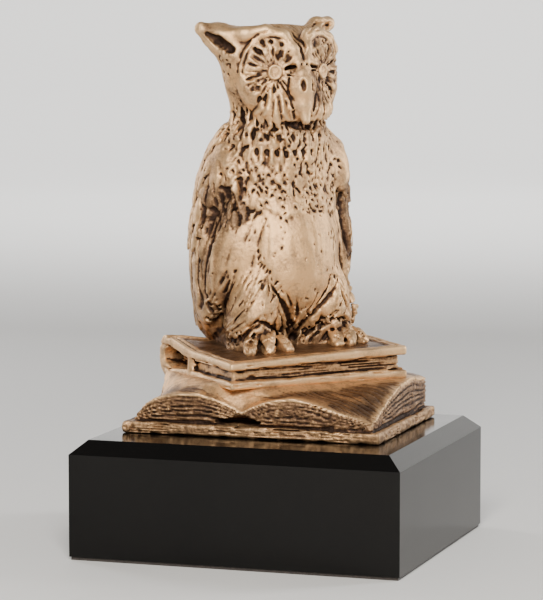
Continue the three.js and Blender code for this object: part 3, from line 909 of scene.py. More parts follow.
def owl_flanks(clay):
    """The furrows that sweep over the flanks, and the hem over the feet."""
    for side in (-1, 1):
        # long curved furrows that sweep from the thigh's outer foot up over the flank
        for start, middle, end, radius in (
                ((-66, 9), (-52, 19), (-36, 38), .42), ((-64, 5.5), (-48, 11), (-31, 23), .5),
                ((-70, 14), (-58, 25), (-45, 40), .25), ((-60, 4), (-44, 7.5), (-27, 15.5), .6),
                ((-73, 18), (-63, 29), (-54, 41), .25), ((-60, 7.5), (-50, 14), (-41, 23), .22),
                ((-54, 3.2), (-42, 5.4), (-26, 11), .45)):
            path = chain(clay, [(-side * a, z) for a, z in (start, middle, end)], 10)
            broken = random.uniform(.15, 1.3, 10)
            clay.gouge(path, .55 * radius * np.sqrt(broken) + .08, .85 * radius * broken, 0.2)

        # the hem of the thigh feathers, arched over the foot
        for angle in np.arange(24, 70, 7):
            low = 2.6 + hem_height(angle)
            tip, root = round_body(clay, [side * angle, side * (angle - 5)], [low, low + 7])
            feather(clay, tip, root, random.uniform(3.0, 4.2), .8, .3, 0.7)
        hem = [(side * angle, 2.0 + hem_height(angle)) for angle in np.arange(22, 72, 4)]
        clay.gouge(chain(clay, hem, 14), .7, 1.0, 0.3)


def owl_right_cleft(clay):
    """The path of the right wing's cleft, and the furrow from the shoulder to the breast."""
    shoulder = seen(clay, [(-17.2, 53), (-14.5, 47), (-12, 42), (-10.6, 38.5)], 9)
    path = seen(clay, [(-17.4, 55), (-16.2, 48), (-17.8, 42), (-20, 36), (-21.3, 30), (-22, 22), (-22.6, 16),
                       (-23.2, 11)], 22)
    clay.gouge(shoulder, [.3, .6, .8, .9, .9, .8, .7, .5, .3], [.3, .7, 1.0, 1.2, 1.2, 1.1, .9, .6, .2], .5)
    return path


def owl_left_slit(clay):
    """The deep slit between the left wing and the body, and the wing's hooked tip."""
    slit = seen(clay, [(19.2, 43.5), (19.9, 40), (20.5, 36), (21.2, 31), (21.6, 27), (21.8, 24)], 9)
    slit = slit + .8 * INWARD
    for i, radius in enumerate((.9, 1.4, 1.7, 1.7, 1.6, 1.4, 1.1, .7)):
        for deep in (0, 2):
            clay.cut(limb(slit[i] + deep * INWARD, slit[i + 1] + deep * INWARD, radius, radius), .2)
    bar(clay, [(20.8, -2.0, 19), (21.8, -5.5, 13.5), (22.0, -8.6, 10.2), (21.3, -10.6, 8.0)],
        (1.6, 1.4, 1.2, .5), .5)
    crack = seen(clay, [(19.4, 17), (20.2, 13), (21.4, 9.5)], 5)
    clay.gouge(crack, [.4, .9, 1.1, 1.0, .5], [.4, 1.2, 1.6, 1.4, .5], .15)


def owl_wings(clay):
    """The hollow, quills and cracks of each wing's front, the furrows of its back, and its tip."""
    for side in (-1, 1):
        # the cleft between the wing's front edge and the body
        if side > 0:
            stops = [(86, 59), (77, 51.5), (70, 44), (67, 38), (72, 30), (74, 22), (77, 15), (80, 9)]
            path = chain(clay, stops, 22)
        else:
            path = owl_right_cleft(clay)
        clay.gouge(path, profile(22, (0, 6, 10, 15, 21), (.3, .6, 1.2, 1.4, .8)),
                   profile(22, (0, 6, 9, 12, 18, 21), (.2, .5, 1.3, .25, .3, .6)), 1.0)
        if side > 0:
            owl_left_slit(clay)
        # a broad hollow behind the front edge, with a few quills standing in it
        back = 9 * (side < 0)
        stops = [(side * 76, 50), (side * 74, 42), (side * (77 + back), 32), (side * (78 + back), 18)]
        hollow = chain(clay, stops, 8)
        clay.gouge(hollow, [1.0, 2.4, 3.6, 4.2, 3.6, 2.6, 2.0, 1.2],
                   [.3, 1.0, 1.9, 2.1, 1.4, .8, .6, .3], 1.4)
        for angle, top in ((70, 45), (75, 43), (80, 46), (86, 42)):
            low = 10 + random.uniform(-1, 3)
            stops = [(side * angle, top), (side * (angle + .5 + .8 * back), 32),
                     (side * (angle - 1 + 1.2 * back), 20), (side * (angle - 3 + 1.3 * back), low)]
            stops = [(a + random.uniform(-1.2, 1.2), z) for a, z in stops]
            clay.ridge(chain(clay, stops, 9), [.25, .5, .6, .5, .65, .6, .5, .5, .3],
                       [.1, .3, .45, .25, .5, .5, .3, .4, .2], 0.3)
        # the dark crack along the smooth outer band
        crack = [(97, 45), (93, 38), (88 + .9 * back, 29), (83 + 1.4 * back, 20), (79 + 1.6 * back, 12)]
        crack = chain(clay, [(side * (a + random.uniform(-.8, .8)), z) for a, z in crack], 14)
        clay.gouge(crack, profile(14, (0, 2, 10, 13), (.2, .8, .8, .3)),
                   profile(14, (0, 2, 9, 13), (.2, 1.6, 1.3, .3)), 0.15)
        # long furrows down the back of the wing
        for angle, top in ((106, 50), (116, 47), (126, 50), (136, 47), (146, 50), (155, 46)):
            stops = [(side * (angle + random.uniform(-1.5, 1.5)), z) for z in (top, 40, 30, 20, 8)]
            clay.gouge(chain(clay, stops, 12), profile(12, (0, 3, 11), (.2, .4, .5)),
                       profile(12, (0, 3, 11), (.2, .6, .75)), 0.3)
        # the wing's lower tip, standing clear of the thigh
        hook = chain(clay, [(side * (angle + back), z) for angle, z in ((76, 13), (72, 8), (67, 4.2))], 4)
        clay.ridge(hook, [.8, 1.1, 1.1, .8], [.6, .9, 1.0, .7], 0.6)
        for angle, top, low in ((80, 16, 6), (74, 13, 6), (69, 12, 6), (84, 9, 3)):
            pit = chain(clay, [(side * (angle + back), top), (side * (angle + back - 5), low)], 5)
            clay.gouge(pit, random.uniform(.3, .8, 5), random.uniform(.5, 1.6, 5), 0.2)


def owl_back(clay):
    """Rows of scalloped feathers, the long flight feathers below them, and their fine cuts."""
    for row, height in enumerate(np.arange(62, 27, -4.6)):
        for angle in np.arange(96 + 7 * (row % 2), 266, 14):
            angle = angle + random.uniform(-1.5, 1.5)
            low = height - 3 + random.uniform(-.5, .5)
            tip, root = round_body(clay, [angle, angle], [low, low + 7.5])
            lift = .9 if abs(angle - 180) < 50 else .3
            feather(clay, tip, root, 5.2, .5 + .65 * lift, lift, 0.15)
            under = chain(clay, [(angle - 6, low + 1.4), (angle, low - .4), (angle + 6, low + 1.4)], 5)
            clay.gouge(under, [.15, .3, .36, .3, .15], np.array([.2, .6, .75, .6, .2]) * (.3 + lift), 0.1)
    for angle in np.arange(108, 256, 8):
        low = 6 + 5 * math.cos(math.radians((angle - 180) * 2))
        tip, root = round_body(clay, [angle + random.uniform(-1, 1), angle], [low, low + 22])
        feather(clay, tip, root, 4.0, .9, .6, 0.15)
    scatter(clay, 240, ((92, 268), (10, 60)), (-1.4, 1.4), (1.5, 4.5), (.16, .3), (.2, .42))
    scatter(clay, 60, ((118, 242), (72, 88)), (-2, 2), (1.2, 3.2), (.25, .45), (.3, .6))


def owl_head_marks(clay):
    """Pits on the cheeks, streaks on the neck's sides and lines over the crown."""
    for low, high in ((-118, -70), (70, 118)):
        scatter(clay, 26, ((low, high), (72, 88)), (-6, 6), (.3, 1.0), (.22, .36), (.3, .6), (.8, 1, .6))
    for count, low, high in ((26, -112, -60), (22, 60, 112)):
        scatter(clay, count, ((low, high), (64, 73)), (-1, 1), (1.5, 4), (.35, .65), (.6, 1.1))
    # fine lines combed back over the brows and crown
    for x in np.linspace(-13, 13, 22):
        y0, y1 = random.uniform(-7, -3), random.uniform(0, 8)
        start = on_head([(x * (1 + .012 * t), y, 100) for t, y in enumerate(np.linspace(y0, y1, 5))])
        path = clay.land(start, DOWN)
        clay.gouge(path, [.12, .22, .25, .22, .12], [.12, .25, .3, .25, .12], 0.12)


def ground(x, y):
    """The height of the book's cover under the owl, whose footing slopes with it."""
    return SLOPE * (x + y)


def on_ground(point):
    """A point drawn above level ground, raised to the cover's slope."""
    return np.asarray(point, float) + (0, 0, ground(point[0], point[1]))


# each toe's root, with its height there, and its tip, for the right foot and the left
TOES = {
    -1: (((-15.2, -12.5, 4.4), (-19.3, -19.8)), ((-9.6, -12.0, 6.0), (-13.7, -20.8)),
         ((-5.6, -13.0, 4.0), (-5.9, -20.0))),
    1: (((12.6, -13.0, 4.6), (10.8, -19.8)), ((16.6, -12.5, 5.6), (14.9, -20.6)),
        ((19.6, -12.0, 4.2), (20.4, -19.4))),
}


def owl_feet(clay):
    """Three blunt wrinkled toes to each foot, under the hem of the thigh."""
    for side, toes in TOES.items():
        for (x, y, height), tip in toes:
            base, end = on_ground((x, y, 0)), on_ground((*tip, 0))
            way = unit((end - base) * (1, 1, 0))
            across = np.array([-way[1], way[0], 0])
            for lane in (-1, 0, 1):
                thick = random.uniform(.85, 1.15)
                raised = .35 * (lane == 0) + random.uniform(-.2, .2)
                # share of the toe's length, of its height, the strand's radius, how far to the side
                strand = ((0, 1, 1.1, 1.25), (.35, .86, 1.05, 1.15), (.7, .58, 1.0, .85),
                          (.92, .34, .8, .6), (1.0 - .06 * abs(lane), .2, .4, .45))
                stops = []
                for far, rise, radius, aside in strand:
                    lift = height * rise + raised - radius * thick
                    stops.append(base + (end - base) * far + across * lane * aside + (0, 0, lift))
                feet = [np.array([x, y, ground(x, y) + .6]) for x, y, _ in stops]
                radii = np.array([row[2] for row in strand]) * thick
                for j in range(4):
                    bar(clay, stops[j:j + 2], radii[j:j + 2], 0.12)
                    bar(clay, feet[j:j + 2], radii[j:j + 2] * .95, 0.4)
            # wrinkles across it
            for t in (.22, .38, .52, .66, .78):
                middle = base + t * (end - base) + (0, 0, 12)
                bow = np.array([middle - 1.8 * across + .4 * way, middle, middle + 1.8 * across + .3 * way])
                bow = clay.land(bow, DOWN)
                clay.gouge(bow, random.uniform(.18, .32), random.uniform(.15, .4), 0.1)
        # dark ragged gaps where the thigh's feathers meet the book beside the foot
        for angle in np.arange(42, 84, 5.0):
            stops = [(side * (angle + random.uniform(-2, 2)), z) for z in (4.2, .2)]
            clay.gouge(chain(clay, stops, 4), random.uniform(.3, .8, 4), random.uniform(.5, 1.5, 4), 0.15)
        # the gaps between the toes
        for (one, tip1), (two, tip2) in zip(toes[:-1], toes[1:]):
            start = on_ground(((one[0] + two[0]) / 2, (one[1] + two[1]) / 2 + .6, 0)) + (0, 0, 3.2)
            end = on_ground(((tip1[0] + tip2[0]) / 2, (tip1[1] + tip2[1]) / 2 - 1, 0)) + (0, 0, .8)
            gap = abs(tip2[0] - tip1[0]) - 3.4
            clay.cut(limb(start, end, 0.7, np.clip(gap, 0.7, 1.5)), 0.2)


def casting_skin(points):
    """The uneven skin of a hand-carved casting."""
    low = 1 - smoothstep(6, 10, points[:, 2])
    return (.12 * noise(points, 3.2, 1) + (.08 + .2 * low) * noise(points, 1.5, 2)
            + (.05 + .1 * low) * noise(points, .8, 3))


def below_footing():
    """Everything under the owl's footing, which follows the slope of the book's cover."""
    def distance(x, y, z):
        return z - ground(x, y) + 0.25
    return distance, np.array([-60, -60, -6]), np.array([60, 60, 4])


def owl_stain_and_shade(points):
    """Extra darkening over the owl. Stain and painted shade in the wings' hollows; painted shadow under the
    chin; painted shade between the legs, along the left wing's slit, over the left facial disc and where the
    owl meets the book; darker round the collar, on the breast and low on the thighs; blotches over the
    cheeks, sides and toes, and a darker band on the right ear.
    """
    angle, z = chart_of(points)
    turn = abs(angle)
    # stain and painted shade: darker through each wing's hollow, most in its deep upper part where shade
    # falls
    wing = within(z, 10, 48, 3) * within(turn, wing_front(angle, z) - 1, 95, 3)
    wing = wing * (.5 + .55 * smoothstep(30, 40, z))
    outer = .16 * smoothstep(70, 84, turn) * smoothstep(-.3, .4, noise(points, 5, 24)) * (z < 62)
    collar = .3 * within(z, 58.5, 66.5, 1.5) * (1 - smoothstep(70, 84, turn))
    # painted shadow: a dark band under the chin and facial discs
    chin = .8 * within(z, 63.2, 66.2, .8) * within(angle, -10, 62, 5)
    breast = .12 * within(z, 41, 58, 2) * (1 - smoothstep(66, 74, turn))
    thigh = .45 * (1 - smoothstep(6, 20, z)) * within(turn, 30, 92, 6)
    toes = .35 * smoothstep(-.1, .35, noise(points, 1.5, 27)) * (points[:, 1] < -12) * (z < 8)
    # painted shade along the footing where the owl meets the book, left off the toes' front ends
    low = 1 - smoothstep(2.0, 6.0, z - ground(points[:, 0], points[:, 1]))
    behind = smoothstep(-15.5, -12.5, points[:, 1])
    # painted shade low between the legs
    between = .8 * (1 - smoothstep(3, 9, z)) * (1 - smoothstep(10, 20, turn))
    cheek = .35 * smoothstep(.1, .5, noise(points, 4, 25)) * within(z, 66, 93, 2) * smoothstep(52, 64, turn)
    # painted shade along the deep slit between the left wing and the body
    beyond = math.cos(VIEW_TURN) * points[:, 0] - math.sin(VIEW_TURN) * points[:, 1]
    line = np.interp(z, (24, 27, 31, 36, 40, 43.5), (21.8, 21.6, 21.2, 20.5, 19.9, 19.2))
    slit = 1.1 * within(beyond - line, -1.6, 1.2, .3) * within(z, 24, 45, 1.5)
    slit = slit * within(points[:, 1], -12, 3, 1)
    ear_line = 88.0 - .79 * (beyond + 13.5)
    ear = .75 * within(beyond, -22, -12.6, .8) * within(z - ear_line, -2.6, 2.4, .8) * (points[:, 1] < 6)
    blotch = .35 + .65 * smoothstep(-.1, .35, noise(points, 2.4, 26))
    discs = 0 * z
    for side in (-1, 1):
        own = (points - on_head(mirrored(EYE, side))) @ (HEAD @ turn_z(DISC_TURN * side))
        reach = np.hypot(own[:, 0], own[:, 2])
        facing = abs(own[:, 1]) < 5
        # on the owl's left disc, blotched painted shade over the whole disc; on the right disc, a light stain
        rays = (.9 * blotch if side > 0 else .16) * within(reach, 2.6, 10.5, .6) * facing
        pupil = .3 * (1 - smoothstep(.8, 1.1, np.hypot(own[:, 0] / 1.3, own[:, 2] / 1.5))) * facing
        discs = np.maximum(np.maximum(discs, rays), pupil)
    return np.maximum.reduce([wing, outer, collar, chin, breast, thigh, .9 * low * behind, between, discs,
                              cheek, slit, ear, toes])


def owl_tone(points):
    """A little browner low on the wings and back."""
    angle, z = chart_of(points)
    return .4 * (1 - smoothstep(18, 40, z)) * smoothstep(62, 74, abs(angle))


def make_owl():
    """The whole owl, worked from the large to the small."""
    clay = Clay((-29, -27, -5), (29, 28, 100), OWL_STEP)
    for work in (owl_masses, owl_skull, owl_back, owl_wings, owl_flanks, owl_belly, owl_breast, owl_face,
                 owl_beak, owl_head_marks, owl_ear_streaks, owl_ruff):
        work(clay)
    clay.relief(owl_plumage)
    owl_feet(clay)
    clay.relief(casting_skin)
    clay.cut(below_footing(), 0)
    return cast("owl_casting", clay, stack_matrix(FOOTING), owl_stain_and_shade, owl_tone)


# ---------------------------------------------------------------- the closed book
# x along the spine, y from the fore edge back to the spine, z above the book's underside, in the
# turned frame. It lies a little open, so heights grow away from the near corner.
BOOK_LEFT, BOOK_RIGHT, BOOK_FORE, BOOK_SPINE = -31.2, 28.2, -30.3, 10.8
BOOK_THICK = 7.8                    # at the near corner
BOARD = 2.4
SLOPE = 0.035                       # the cover's rise for each millimetre, both ways
BOOK_SKEW = 0.18                    # how much deeper the book is at its left end, as a share
BULGE_UP, BULGE_DOWN = 2.3, 1.0     # the spine's swelling at its left end
LOOP = 2.5                          # the spine's own thickness
WEDGE_TOP = 12.0                    # above the stretched book's highest point
SPINE_RADIUS = BOOK_THICK / 2
SPINE_Y = BOOK_SPINE - SPINE_RADIUS


def book_deep(x, y):
    """y as it would be if the spine ran square to the ends: it lies further back at its left end."""
    return BOOK_FORE + (y - BOOK_FORE) / (1 + BOOK_SKEW * (BOOK_RIGHT - x) / (BOOK_RIGHT - BOOK_LEFT))


def spine_bulge(x, y):
    """1 at the swollen left end of the spine."""
    return smoothstep(-10, 7, book_deep(x, y)) * (1 - smoothstep(-32, -12, x))


def book_stretch(x, y):
    """How much taller the book is here than at its near corner."""
    bulge = (BULGE_UP + BULGE_DOWN) * spine_bulge(x, y)
    return (BOOK_THICK + SLOPE * ((x + 31) + (y + 30)) + bulge) / BOOK_THICK


def book_level(x, y, z):
    """Height as it would be at the near corner."""
    return (z + BULGE_DOWN * spine_bulge(x, y)) / book_stretch(x, y)


def wedge(shape):
    """A shape drawn square and at the near corner's height, stretched to the book's own form."""
    distance, low, high = shape

    def stretched(x, y, z):
        return distance(x, book_deep(x, y), book_level(x, y, z))
    reach = BOOK_FORE + (high[1] - BOOK_FORE) * (1 + BOOK_SKEW)
    return stretched, low - (0, 0, 2), np.array([high[0], reach, WEDGE_TOP])


def spine_shell():
    """The spine: a half round shell, open towards the pages."""
    def distance(x, y, z):
        ring = abs(np.hypot(y - SPINE_Y, z - SPINE_RADIUS) - (SPINE_RADIUS - LOOP / 2)) - LOOP / 2
        ends = np.maximum(BOOK_LEFT + .2 - x, x - BOOK_RIGHT + .2)
        return -smooth_min(smooth_min(-ring, -ends, .5), -(SPINE_Y - 1 - y), .1)
    return distance, np.array([BOOK_LEFT, SPINE_Y - 1, 0]), np.array([BOOK_RIGHT, BOOK_SPINE, BOOK_THICK])


def lines(phase, width=.28):
    """1 along thin lines one unit of phase apart, falling to 0 at width to either side."""
    away = abs((phase % 1) - .5)
    return 1 - smoothstep(0, width, away)


def cover_edge(x, y):
    """Distance in from the edge of the closed book's cover."""
    return np.minimum(np.minimum(x - BOOK_LEFT, BOOK_RIGHT - x), np.minimum(y - BOOK_FORE, SPINE_Y + 1 - y))


def closed_book_relief(p):
    """The cover's engraved border and raised panel, the leaves' edges, and the casting's cracks."""
    x, y, z = p.T
    level = book_level(x, y, z)
    y = book_deep(x, y)
    inset = cover_edge(x, y)
    up_top = smoothstep(BOOK_THICK - 1.4, BOOK_THICK - .6, level)
    broken = smoothstep(-.45, .2, noise(p, 5, 4))
    border = lines((inset - 2.0) / 60 + .5, .009) * .55 + lines((inset - 3.7) / 60 + .5, .007) * .35
    panel = smoothstep(3.9, 4.4, inset) * .3
    scuffs = lines(p @ (.42, .9, 0) / 2.1 + 1.3 * noise(p, 9, 5), .16)
    scuffs = scuffs * smoothstep(.0, .5, noise(p, 6, 6)) * .22
    on_pages = (x > BOOK_LEFT + 1.3) & (x < BOOK_RIGHT - 1.3) & (y > BOOK_FORE + 1.3) & (y < 6.5)
    sides = within(level, BOARD - .2, BOOK_THICK - BOARD + .2, .3) * on_pages
    leaves = lines(level * 1.35 + .7 * noise(p * (.3, .3, 1), 3.0, 7), .34)
    leaves = leaves * .7 * (.25 + .75 * broken) * sides
    cracks = lines(level * .8 + .7 * noise(p * (.25, .25, 1), 2.6, 8), .2) * (1 - sides) * (1 - up_top)
    cracks = .5 * cracks * smoothstep(-.3, .3, noise(p * (.5, .5, 1), 3, 19))
    hatch = .35 * smoothstep(.1, .5, noise(p * (.16, .16, 1), .6, 20)) * sides
    end = (x < BOOK_LEFT + 4) * sides
    leaves = leaves * (1 - .6 * end)
    on_top = up_top * (border * (.5 + .5 * broken) + panel + scuffs * smoothstep(3.9, 4.4, inset))
    skin = .10 * noise(p, 3.6, 9) + .06 * noise(p, 1.5, 10)
    return skin - on_top - leaves - cracks - hatch


def cut_bar(clay, start, end, r0, r1, blend):
    """Takes a tapered bar out of the closed book, following the book's own form."""
    clay.cut(wedge(limb(start, end, r0, r1)), blend)


def make_closed_book():
    """Two boards round a block of pages, with a rounded spine."""
    clay = Clay((-34, -33, -3.5), (31, 21, 17), BOOK_STEP)
    for low in (0, BOOK_THICK - BOARD):
        clay.add(wedge(block((BOOK_LEFT, BOOK_FORE, low), (BOOK_RIGHT, SPINE_Y + .5, low + BOARD), .75)), 0.1)
    clay.add(wedge(spine_shell()), 0.3)
    leaves = block((BOOK_LEFT + 1.9, BOOK_FORE + 1.9, BOARD - .6),
                   (BOOK_RIGHT - 1.9, 6, BOOK_THICK - BOARD + .6), .3)
    clay.add(wedge(leaves), 0.25)
    middle = BOOK_THICK / 2
    # at each end the pages stop short of the spine, behind a bead
    for x, inward in ((BOOK_LEFT, 1), (BOOK_RIGHT, -1)):
        for deep, r0, r1 in ((0, 1.7, 2.4), (1.6, 1.6, 2.2), (3.0, 1.3, 1.9)):
            cut_bar(clay, (x + deep * inward, -3.4, middle), (x + deep * inward, 5.4, middle), r0, r1, .15)
        bead = x + 1.5 * inward
        clay.add(wedge(limb((bead, -6.6, 1.5), (bead, -6.6, BOOK_THICK - 1.5), 1.5, 1.5)), .4)
    # the pages' hollow fore edge and ends
    fore = BOOK_FORE - .2
    cut_bar(clay, (BOOK_LEFT - 1, fore, middle), (BOOK_RIGHT + 1, fore, middle), 1.9, 1.9, .25)
    for x in (BOOK_LEFT, BOOK_RIGHT):
        cut_bar(clay, (x, BOOK_FORE, middle), (x, -9, middle), 1.5, 1.5, .25)
    # the joint groove where the cover hinges
    y, z = SPINE_Y - 1.6, BOOK_THICK + .35
    cut_bar(clay, (BOOK_LEFT, y, z), (BOOK_RIGHT, y, z), .8, .8, .5)
    clay.relief(closed_book_relief)
    return cast("closed_book_casting", clay, stack_matrix(BOOK_BOTTOM), closed_book_stain, closed_book_tone)


def closed_book_stain(p):
    """Stain in the spine's recess, between the pages and along the boards' edges."""
    x, y, z = p.T
    level = book_level(x, y, z)
    y = book_deep(x, y)
    between = within(level, BOARD - .2, BOOK_THICK - BOARD + .2, .4)
    recess = within(y, -5, 7.5, .6) * between
    inset = cover_edge(x, y)
    border = .75 * within(inset, 1.8, 2.3, .2) + .5 * within(inset, 3.5, 3.9, .2)
    border = border * smoothstep(6.4, 7.2, level)
    pages = .4 * between * (y < -7) * (.25 + .75 * (x > BOOK_LEFT + 4))
    edges = .35 * smoothstep(-.1, .4, noise(p * (.4, .4, 1), 2.2, 23)) * (inset < 2.4)
    return np.maximum.reduce([.6 * recess, pages, edges, border])


def closed_book_tone(p):
    """1 where the cover's inner panel is burnished brown."""
    x, y, z = p.T
    on_top = smoothstep(BOOK_THICK - 1.2, BOOK_THICK - .6, book_level(x, y, z))
    return on_top * smoothstep(3.2, 4.6, cover_edge(x, book_deep(x, y)))


# ---------------------------------------------------------------- the open book
# In the plinth's frame, with z above the plinth's top.
OPEN_LOW, OPEN_HIGH = cad_box("open_book")
COVER_THICK = 3.4
PAGE_LEFT, PAGE_RIGHT, PAGE_FRONT, PAGE_BACK = -37.6, 35.7, OPEN_LOW[1] + 1, OPEN_HIGH[1] - 2
GUTTER_X = -4.3
# the pages' front edge, as (x, height) from the left to the right
CROWN = ((-40, 3.0), (-37.2, 5.7), (-35.2, 8.1), (-31.1, 10.8), (-25, 12.4), (-17.6, 12.7), (-12.3, 11.1),
         (-6.9, 8.5), (GUTTER_X, 7.0), (-1.6, 9.0), (3.7, 11.2), (10.3, 12.4), (15.6, 11.5), (22.1, 9.6),
         (28.7, 7.7), (35.2, 5.1), (38, 4.6))
FINE_X = np.linspace(-42, 40, 411)
CROWN_HEIGHT = np.interp(FINE_X, *np.transpose(CROWN))
CROWN_HEIGHT = np.convolve(np.pad(CROWN_HEIGHT, 5, mode="edge"), np.full(11, 1 / 11), mode="valid")


def seat_rise(x, y):
    """0 on the open pages, 1 where the fill has risen to carry the closed book."""
    c, s = math.cos(STACK_TURN), math.sin(STACK_TURN)
    px, py = x - STUD[0], y - STUD[1]
    along, back = c * px + s * py, c * py - s * px
    out_x = abs(along - (BOOK_LEFT + BOOK_RIGHT) / 2) - (BOOK_RIGHT - BOOK_LEFT) / 2 + 2.2
    out_y = abs(back - (BOOK_FORE + BOOK_SPINE) / 2 - 1.5) - (BOOK_SPINE - BOOK_FORE) / 2 + .7
    outside = np.hypot(np.maximum(out_x, 0), np.maximum(out_y, 0)) + np.minimum(np.maximum(out_x, out_y), 0)
    return (1 - smoothstep(1.2, 9.5, outside)) * smoothstep(-.5, 6.0, y - PAGE_FRONT)


def page_height(x, y):
    """The pages' top: two crowned humps, with the right-hand ends lifting towards the back."""
    crown = np.interp(x, FINE_X, CROWN_HEIGHT)
    back = np.clip((y - PAGE_FRONT) / (PAGE_BACK - PAGE_FRONT), 0, 1)
    lift = 8.6 * np.sin(np.minimum(back * 1.5, 1) * np.pi / 2) - 1.6 * np.clip(back - .75, 0, 1) / .25
    height = np.minimum(crown + lift * smoothstep(9, PAGE_RIGHT, x), 13.6)
    c, s = math.cos(STACK_TURN), math.sin(STACK_TURN)
    along = c * (x - STUD[0]) + s * (y - STUD[1])
    seat = 14.3 + 1.3 * (1 - smoothstep(BOOK_LEFT - 1, BOOK_LEFT + 8, along))
    return height + (seat - height) * seat_rise(x, y)


def page_block():
    """Everything under the pages' top and within their edges."""
    def distance(x, y, z):
        height = page_height(x, y)
        slope_x = (page_height(x + .4, y) - page_height(x - .4, y)) / .8
        over = (z - height) / np.sqrt(1 + slope_x ** 2)
        across = abs(x - (PAGE_LEFT + PAGE_RIGHT) / 2) - (PAGE_RIGHT - PAGE_LEFT) / 2
        along = abs(y - (PAGE_FRONT + PAGE_BACK) / 2) - (PAGE_BACK - PAGE_FRONT) / 2
        sides = -smooth_min(-across, -along, .6)
        return -smooth_min(smooth_min(-over, -sides, .5), -(COVER_THICK - 1 - z), .3)
    return distance, np.array([PAGE_LEFT, PAGE_FRONT, 2]), np.array([PAGE_RIGHT, PAGE_BACK, 15.8])


def open_book_relief(p):
    """The leaves' edges, the cover's layers, and the flowing lines on the pages' tops."""
    x, y, z = p.T
    top = page_height(x, y)
    share = (z - COVER_THICK) / np.maximum(top - COVER_THICK, .8)
    in_pages = smoothstep(-.02, .05, share) * (1 - smoothstep(.90, 1.0, share))
    front = 1 - smoothstep(.9, 2.2, y - PAGE_FRONT)
    right = 1 - smoothstep(.9, 2.2, PAGE_RIGHT - x)
    left = 1 - smoothstep(.9, 2.2, x - PAGE_LEFT)
    rear = 1 - smoothstep(.9, 2.2, PAGE_BACK - y)
    side = np.maximum(np.maximum(front, right), np.maximum(left, rear))
    drawn = p * (.22, .22, 1)
    broken = smoothstep(-.5, .25, noise(p * (.6, .6, 1), 4, 14))
    leaves = lines(share * 6 + .55 * noise(drawn, 2.4, 11), .3) * (.4 + .6 * broken) * .6
    hair = lines(share * 13 + .8 * noise(drawn, 1.6, 12), .3) * .28
    in_cover = 1 - smoothstep(COVER_THICK - .3, COVER_THICK, z)
    layers = lines(z * 1.25 + .95 * noise(drawn, 2.2, 13), .26) * (.1 + .9 * broken) * .6
    layers = layers + .3 * smoothstep(.2, .6, noise(p * (.4, .4, 1), .8, 22))
    on_top = smoothstep(.90, 1.0, share) * (1 - .8 * front)
    flow = lines((.30 * x + y) / 2.3 + 1.9 * noise(p * (.5, 1, 1), 8, 15), .17)
    flow = flow * smoothstep(-.35, .3, noise(p * (.5, 1, 1), 7, 16)) * .5 * (1 - .9 * seat_rise(x, y))
    skin = .12 * noise(p, 3.4, 17) + .07 * noise(p, 1.4, 18)
    return skin - in_pages * side * (leaves + hair) - in_cover * layers - on_top * flow


def open_book_stain_and_shade(p):
    """Stain in the pages' edges and along the cover's edge, darker still at the cover's foot, and painted
    shade in the gap under the gutter and under the closed book's edge.
    """
    x, y, z = p.T
    share = (z - COVER_THICK) / np.maximum(page_height(x, y) - COVER_THICK, .8)
    pages = 1.15 * within(share, .02, .9, .05)
    cover = .7 * (z < COVER_THICK) + .5 * (1 - smoothstep(.3, 1.0, z))
    # painted shade in the gap under the gutter
    gutter = .8 * within(x, GUTTER_X - 7, GUTTER_X + 7, 2) * within(z, 3.2, 6.2, .5) * (y < PAGE_FRONT + 3)
    streak = combed((.30 * x + y) * .9, x - .3 * y, 1.3, 6, 71)
    page_top = .5 * smoothstep(.15, .5, streak) * (share > .93) * (1 - smoothstep(.1, .6, seat_rise(x, y)))
    # painted shade on the fill's top just under the closed book's edge
    shade_under_book = .3 * smoothstep(.6, .95, seat_rise(x, y)) * (share > .9)
    return np.maximum.reduce([pages, cover, gutter, page_top, shade_under_book])


def open_book_tone(p):
    """Browner and glossier on the tops of the pages, away from their front edge."""
    x, y, z = p.T
    share = z / np.maximum(page_height(x, y), .1)
    top = .75 * smoothstep(.93, .99, share) * smoothstep(1.0, 5.0, y - PAGE_FRONT)
    top = top * smoothstep(.5, 3, PAGE_RIGHT - x)
    return top * (1 - .95 * smoothstep(.0, .5, seat_rise(x, y)))


